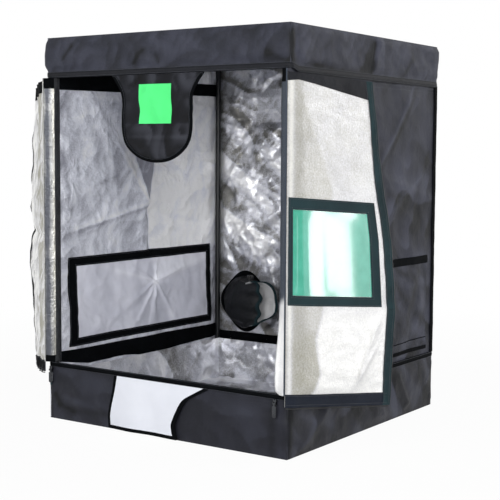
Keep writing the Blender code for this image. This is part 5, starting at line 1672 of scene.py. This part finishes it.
# %% Rows of small blocks
def row_tree():
    """The node tree: its modifier is given a pitch, a block's size and a finish."""
    tree = bpy.data.node_groups.new("rows_of_blocks", "GeometryNodeTree")
    face = tree.interface
    face.new_socket("Geometry", in_out="INPUT", socket_type="NodeSocketGeometry")
    for word, kind, value in (("Pitch", "NodeSocketFloat", 0.005),
                              ("Block Size", "NodeSocketVector", (0.0035, 0.0006, 0.0005)),
                              ("Finish", "NodeSocketMaterial", None)):
        socket = face.new_socket(word, in_out="INPUT", socket_type=kind)
        if value is not None:
            socket.default_value = value
    face.new_socket("Geometry", in_out="OUTPUT", socket_type="NodeSocketGeometry")
    given = add(tree, "NodeGroupInput").outputs
    curve = add(tree, "GeometryNodeMeshToCurve", {"Mesh": given["Geometry"]}).outputs["Curve"]
    evenly = add(tree, "GeometryNodeResampleCurve", {"Curve": curve, "Length": given["Pitch"]}, mode="LENGTH")
    facing = add(tree, "GeometryNodeInputNamedAttribute", {"Name": "facing"}, data_type="FLOAT_VECTOR")
    along = add(tree, "GeometryNodeInputTangent").outputs[0]
    turned = add(tree, "FunctionNodeAxesToRotation", {0: facing.outputs["Attribute"], 1: along},
                 primary_axis="Z", secondary_axis="X").outputs[0]
    block = add(tree, "GeometryNodeMeshCube", {"Size": given["Block Size"]}).outputs["Mesh"]
    placed = add(tree, "GeometryNodeInstanceOnPoints", {"Points": evenly.outputs["Curve"], "Instance": block,
                                                        "Rotation": turned}).outputs[0]
    real = add(tree, "GeometryNodeRealizeInstances", {0: placed}).outputs[0]
    painted = add(tree, "GeometryNodeSetMaterial", {"Geometry": real, "Material": given["Finish"]}).outputs[0]
    add(tree, "NodeGroupOutput", {"Geometry": painted})
    return tree


ROWS = row_tree()


def on_cloth(place, us, vs, lift):
    """Points along a line on a cloth, lifted off it, and the way that they face."""
    U, V = np.broadcast_arrays(np.asarray(us, float), np.asarray(vs, float))
    bare = surface(place, U, V)
    points = surface(place, U, V, lift)
    return points, unit(points - bare)


def rows(name, lines, body, slot, paint, pitch, block):
    """One mesh of blocks along several lines."""
    points = np.concatenate([line[0] for line in lines])
    facings = np.concatenate([line[1] for line in lines])
    edges, start = [], 0
    for line in lines:
        edges += [(start + i, start + i + 1) for i in range(len(line[0]) - 1)]
        start += len(line[0])
    mesh = bpy.data.meshes.new(name)
    mesh.from_pydata([tuple(p) for p in points], edges, [])
    facing = mesh.attributes.new("facing", "FLOAT_VECTOR", "POINT")
    facing.data.foreach_set("vector", facings.astype(np.float32).ravel())
    guide = to_scene(bpy.data.objects.new(name + "_line", mesh))
    maker = guide.modifiers.new("rows", "NODES")
    maker.node_group = ROWS
    named = {item.name: item.identifier for item in ROWS.interface.items_tree if item.in_out == "INPUT"}
    maker[named["Pitch"]], maker[named["Block Size"]], maker[named["Finish"]] = pitch, block, paint
    made = made_mesh(guide, name)
    if not made.materials:
        made.materials.append(paint)
    hang(to_scene(bpy.data.objects.new(name, made)), body, slot)


def box_lines(place, box, lift, size=0.01):
    """The four sides of a box on a cloth."""
    a, b, c, d = box
    us, vs = steps(a, b, size), steps(c, d, size)
    return [on_cloth(place, u, v, lift) for u, v in ((us, c), (us, d), (a, vs), (b, vs))]


STITCH, STITCH_PITCH = (0.0032, 0.0006, 0.0005), 0.0045
TOOTH, TOOTH_PITCH, TOOTH_LIFT = (0.0012, 0.0024, 0.0018), 0.0022, 0.0004
ON_TAPE = SKIN / 2 + GAP + TAPE + 0.0002
ON_WALL = SKIN / 2 + 0.0002
VENT_SEAMS = ((-0.310, 0.321, 0.1850, 0.4200), (-0.2840, 0.3060, 0.2000, 0.4020))
WINDOW_SEAMS = ((0.020, 0.866, 0.3135, 0.6275), (0.038, 0.796, 0.3335, 0.6015))
EDGE_SEAMS = {1: (0.0235, 0.0050), -1: (0.0070,)}

tent_seams = [on_cloth(top_place, top_us, share, ON_TAPE + 0.0008) for share in (0.030, 0.125)]
tent_seams += [on_cloth(base_place, top_us, z, ON_TAPE + 0.0006) for z in (hem_from + 0.0015, SILL_HIGH - 0.002)]
for place, way in ((left_place, 1), (right_place, -1)):
    for box in VENT_SEAMS:
        tent_seams += box_lines(place, box, way * ON_TAPE)
    tent_seams += [on_cloth(place, steps(-0.36, 0.36, 0.01), z, -way * ON_WALL) for z in (0.874, 0.884)]
rows("tent_stitches", tent_seams, "tent", "black_cloth", thread_grey, STITCH_PITCH, STITCH)

for side, word in ((1, "right"), (-1, "left")):
    on_leaf = leaf_place(side)
    lift = side * (ON_TAPE + 0.0006)
    vs = steps(0.01, 0.99, 0.012)
    seams = [on_cloth(on_leaf, 1 - share / leaf_width(vs), vs, way * lift)
             for share in EDGE_SEAMS[side] for way in (1, -1)]
    seams += [on_cloth(on_leaf, steps(0.01, 0.96, 0.02), v, way * lift) for v in (0.006, 0.0355) for way in (1, -1)]
    if side > 0:
        seams += [line for box in WINDOW_SEAMS for line in box_lines(on_leaf, box, ON_TAPE + 0.0010, 0.02)]
    rows(f"{word}_leaf_stitches", seams, f"{word}_leaf", "black_tape", thread_grey, STITCH_PITCH, STITCH)
    teeth = [on_cloth(on_leaf, 1 + (0.0030 + 0.0006) / leaf_width(vs), vs, side * TOOTH_LIFT),
             on_cloth(on_leaf, steps(0.01, 0.99, 0.02), -0.0050, side * TOOTH_LIFT)]
    rows(f"{word}_leaf_zip_teeth", teeth, f"{word}_leaf", "black_plastic", zip_teeth, TOOTH_PITCH, TOOTH)

sewn = outline + 0.0070 * inward
flap_points = tongue_front(sewn[:, 0], np.clip(sewn[:, 1], 0.002, LONG), 0.0020)
flap_facing = np.tile((0.0, -1.0, 0.0), (len(flap_points), 1))
rows("upper_flap_stitches", [(flap_points, flap_facing)], "upper_flap", "black_tape", thread_grey, STITCH_PITCH,
     STITCH)
print("rows of stitches and teeth:", sum("stitches" in o.name or "teeth" in o.name for o in bpy.context.scene.objects))

# %% Finish
bpy.context.scene.view_settings.view_transform = "Standard"
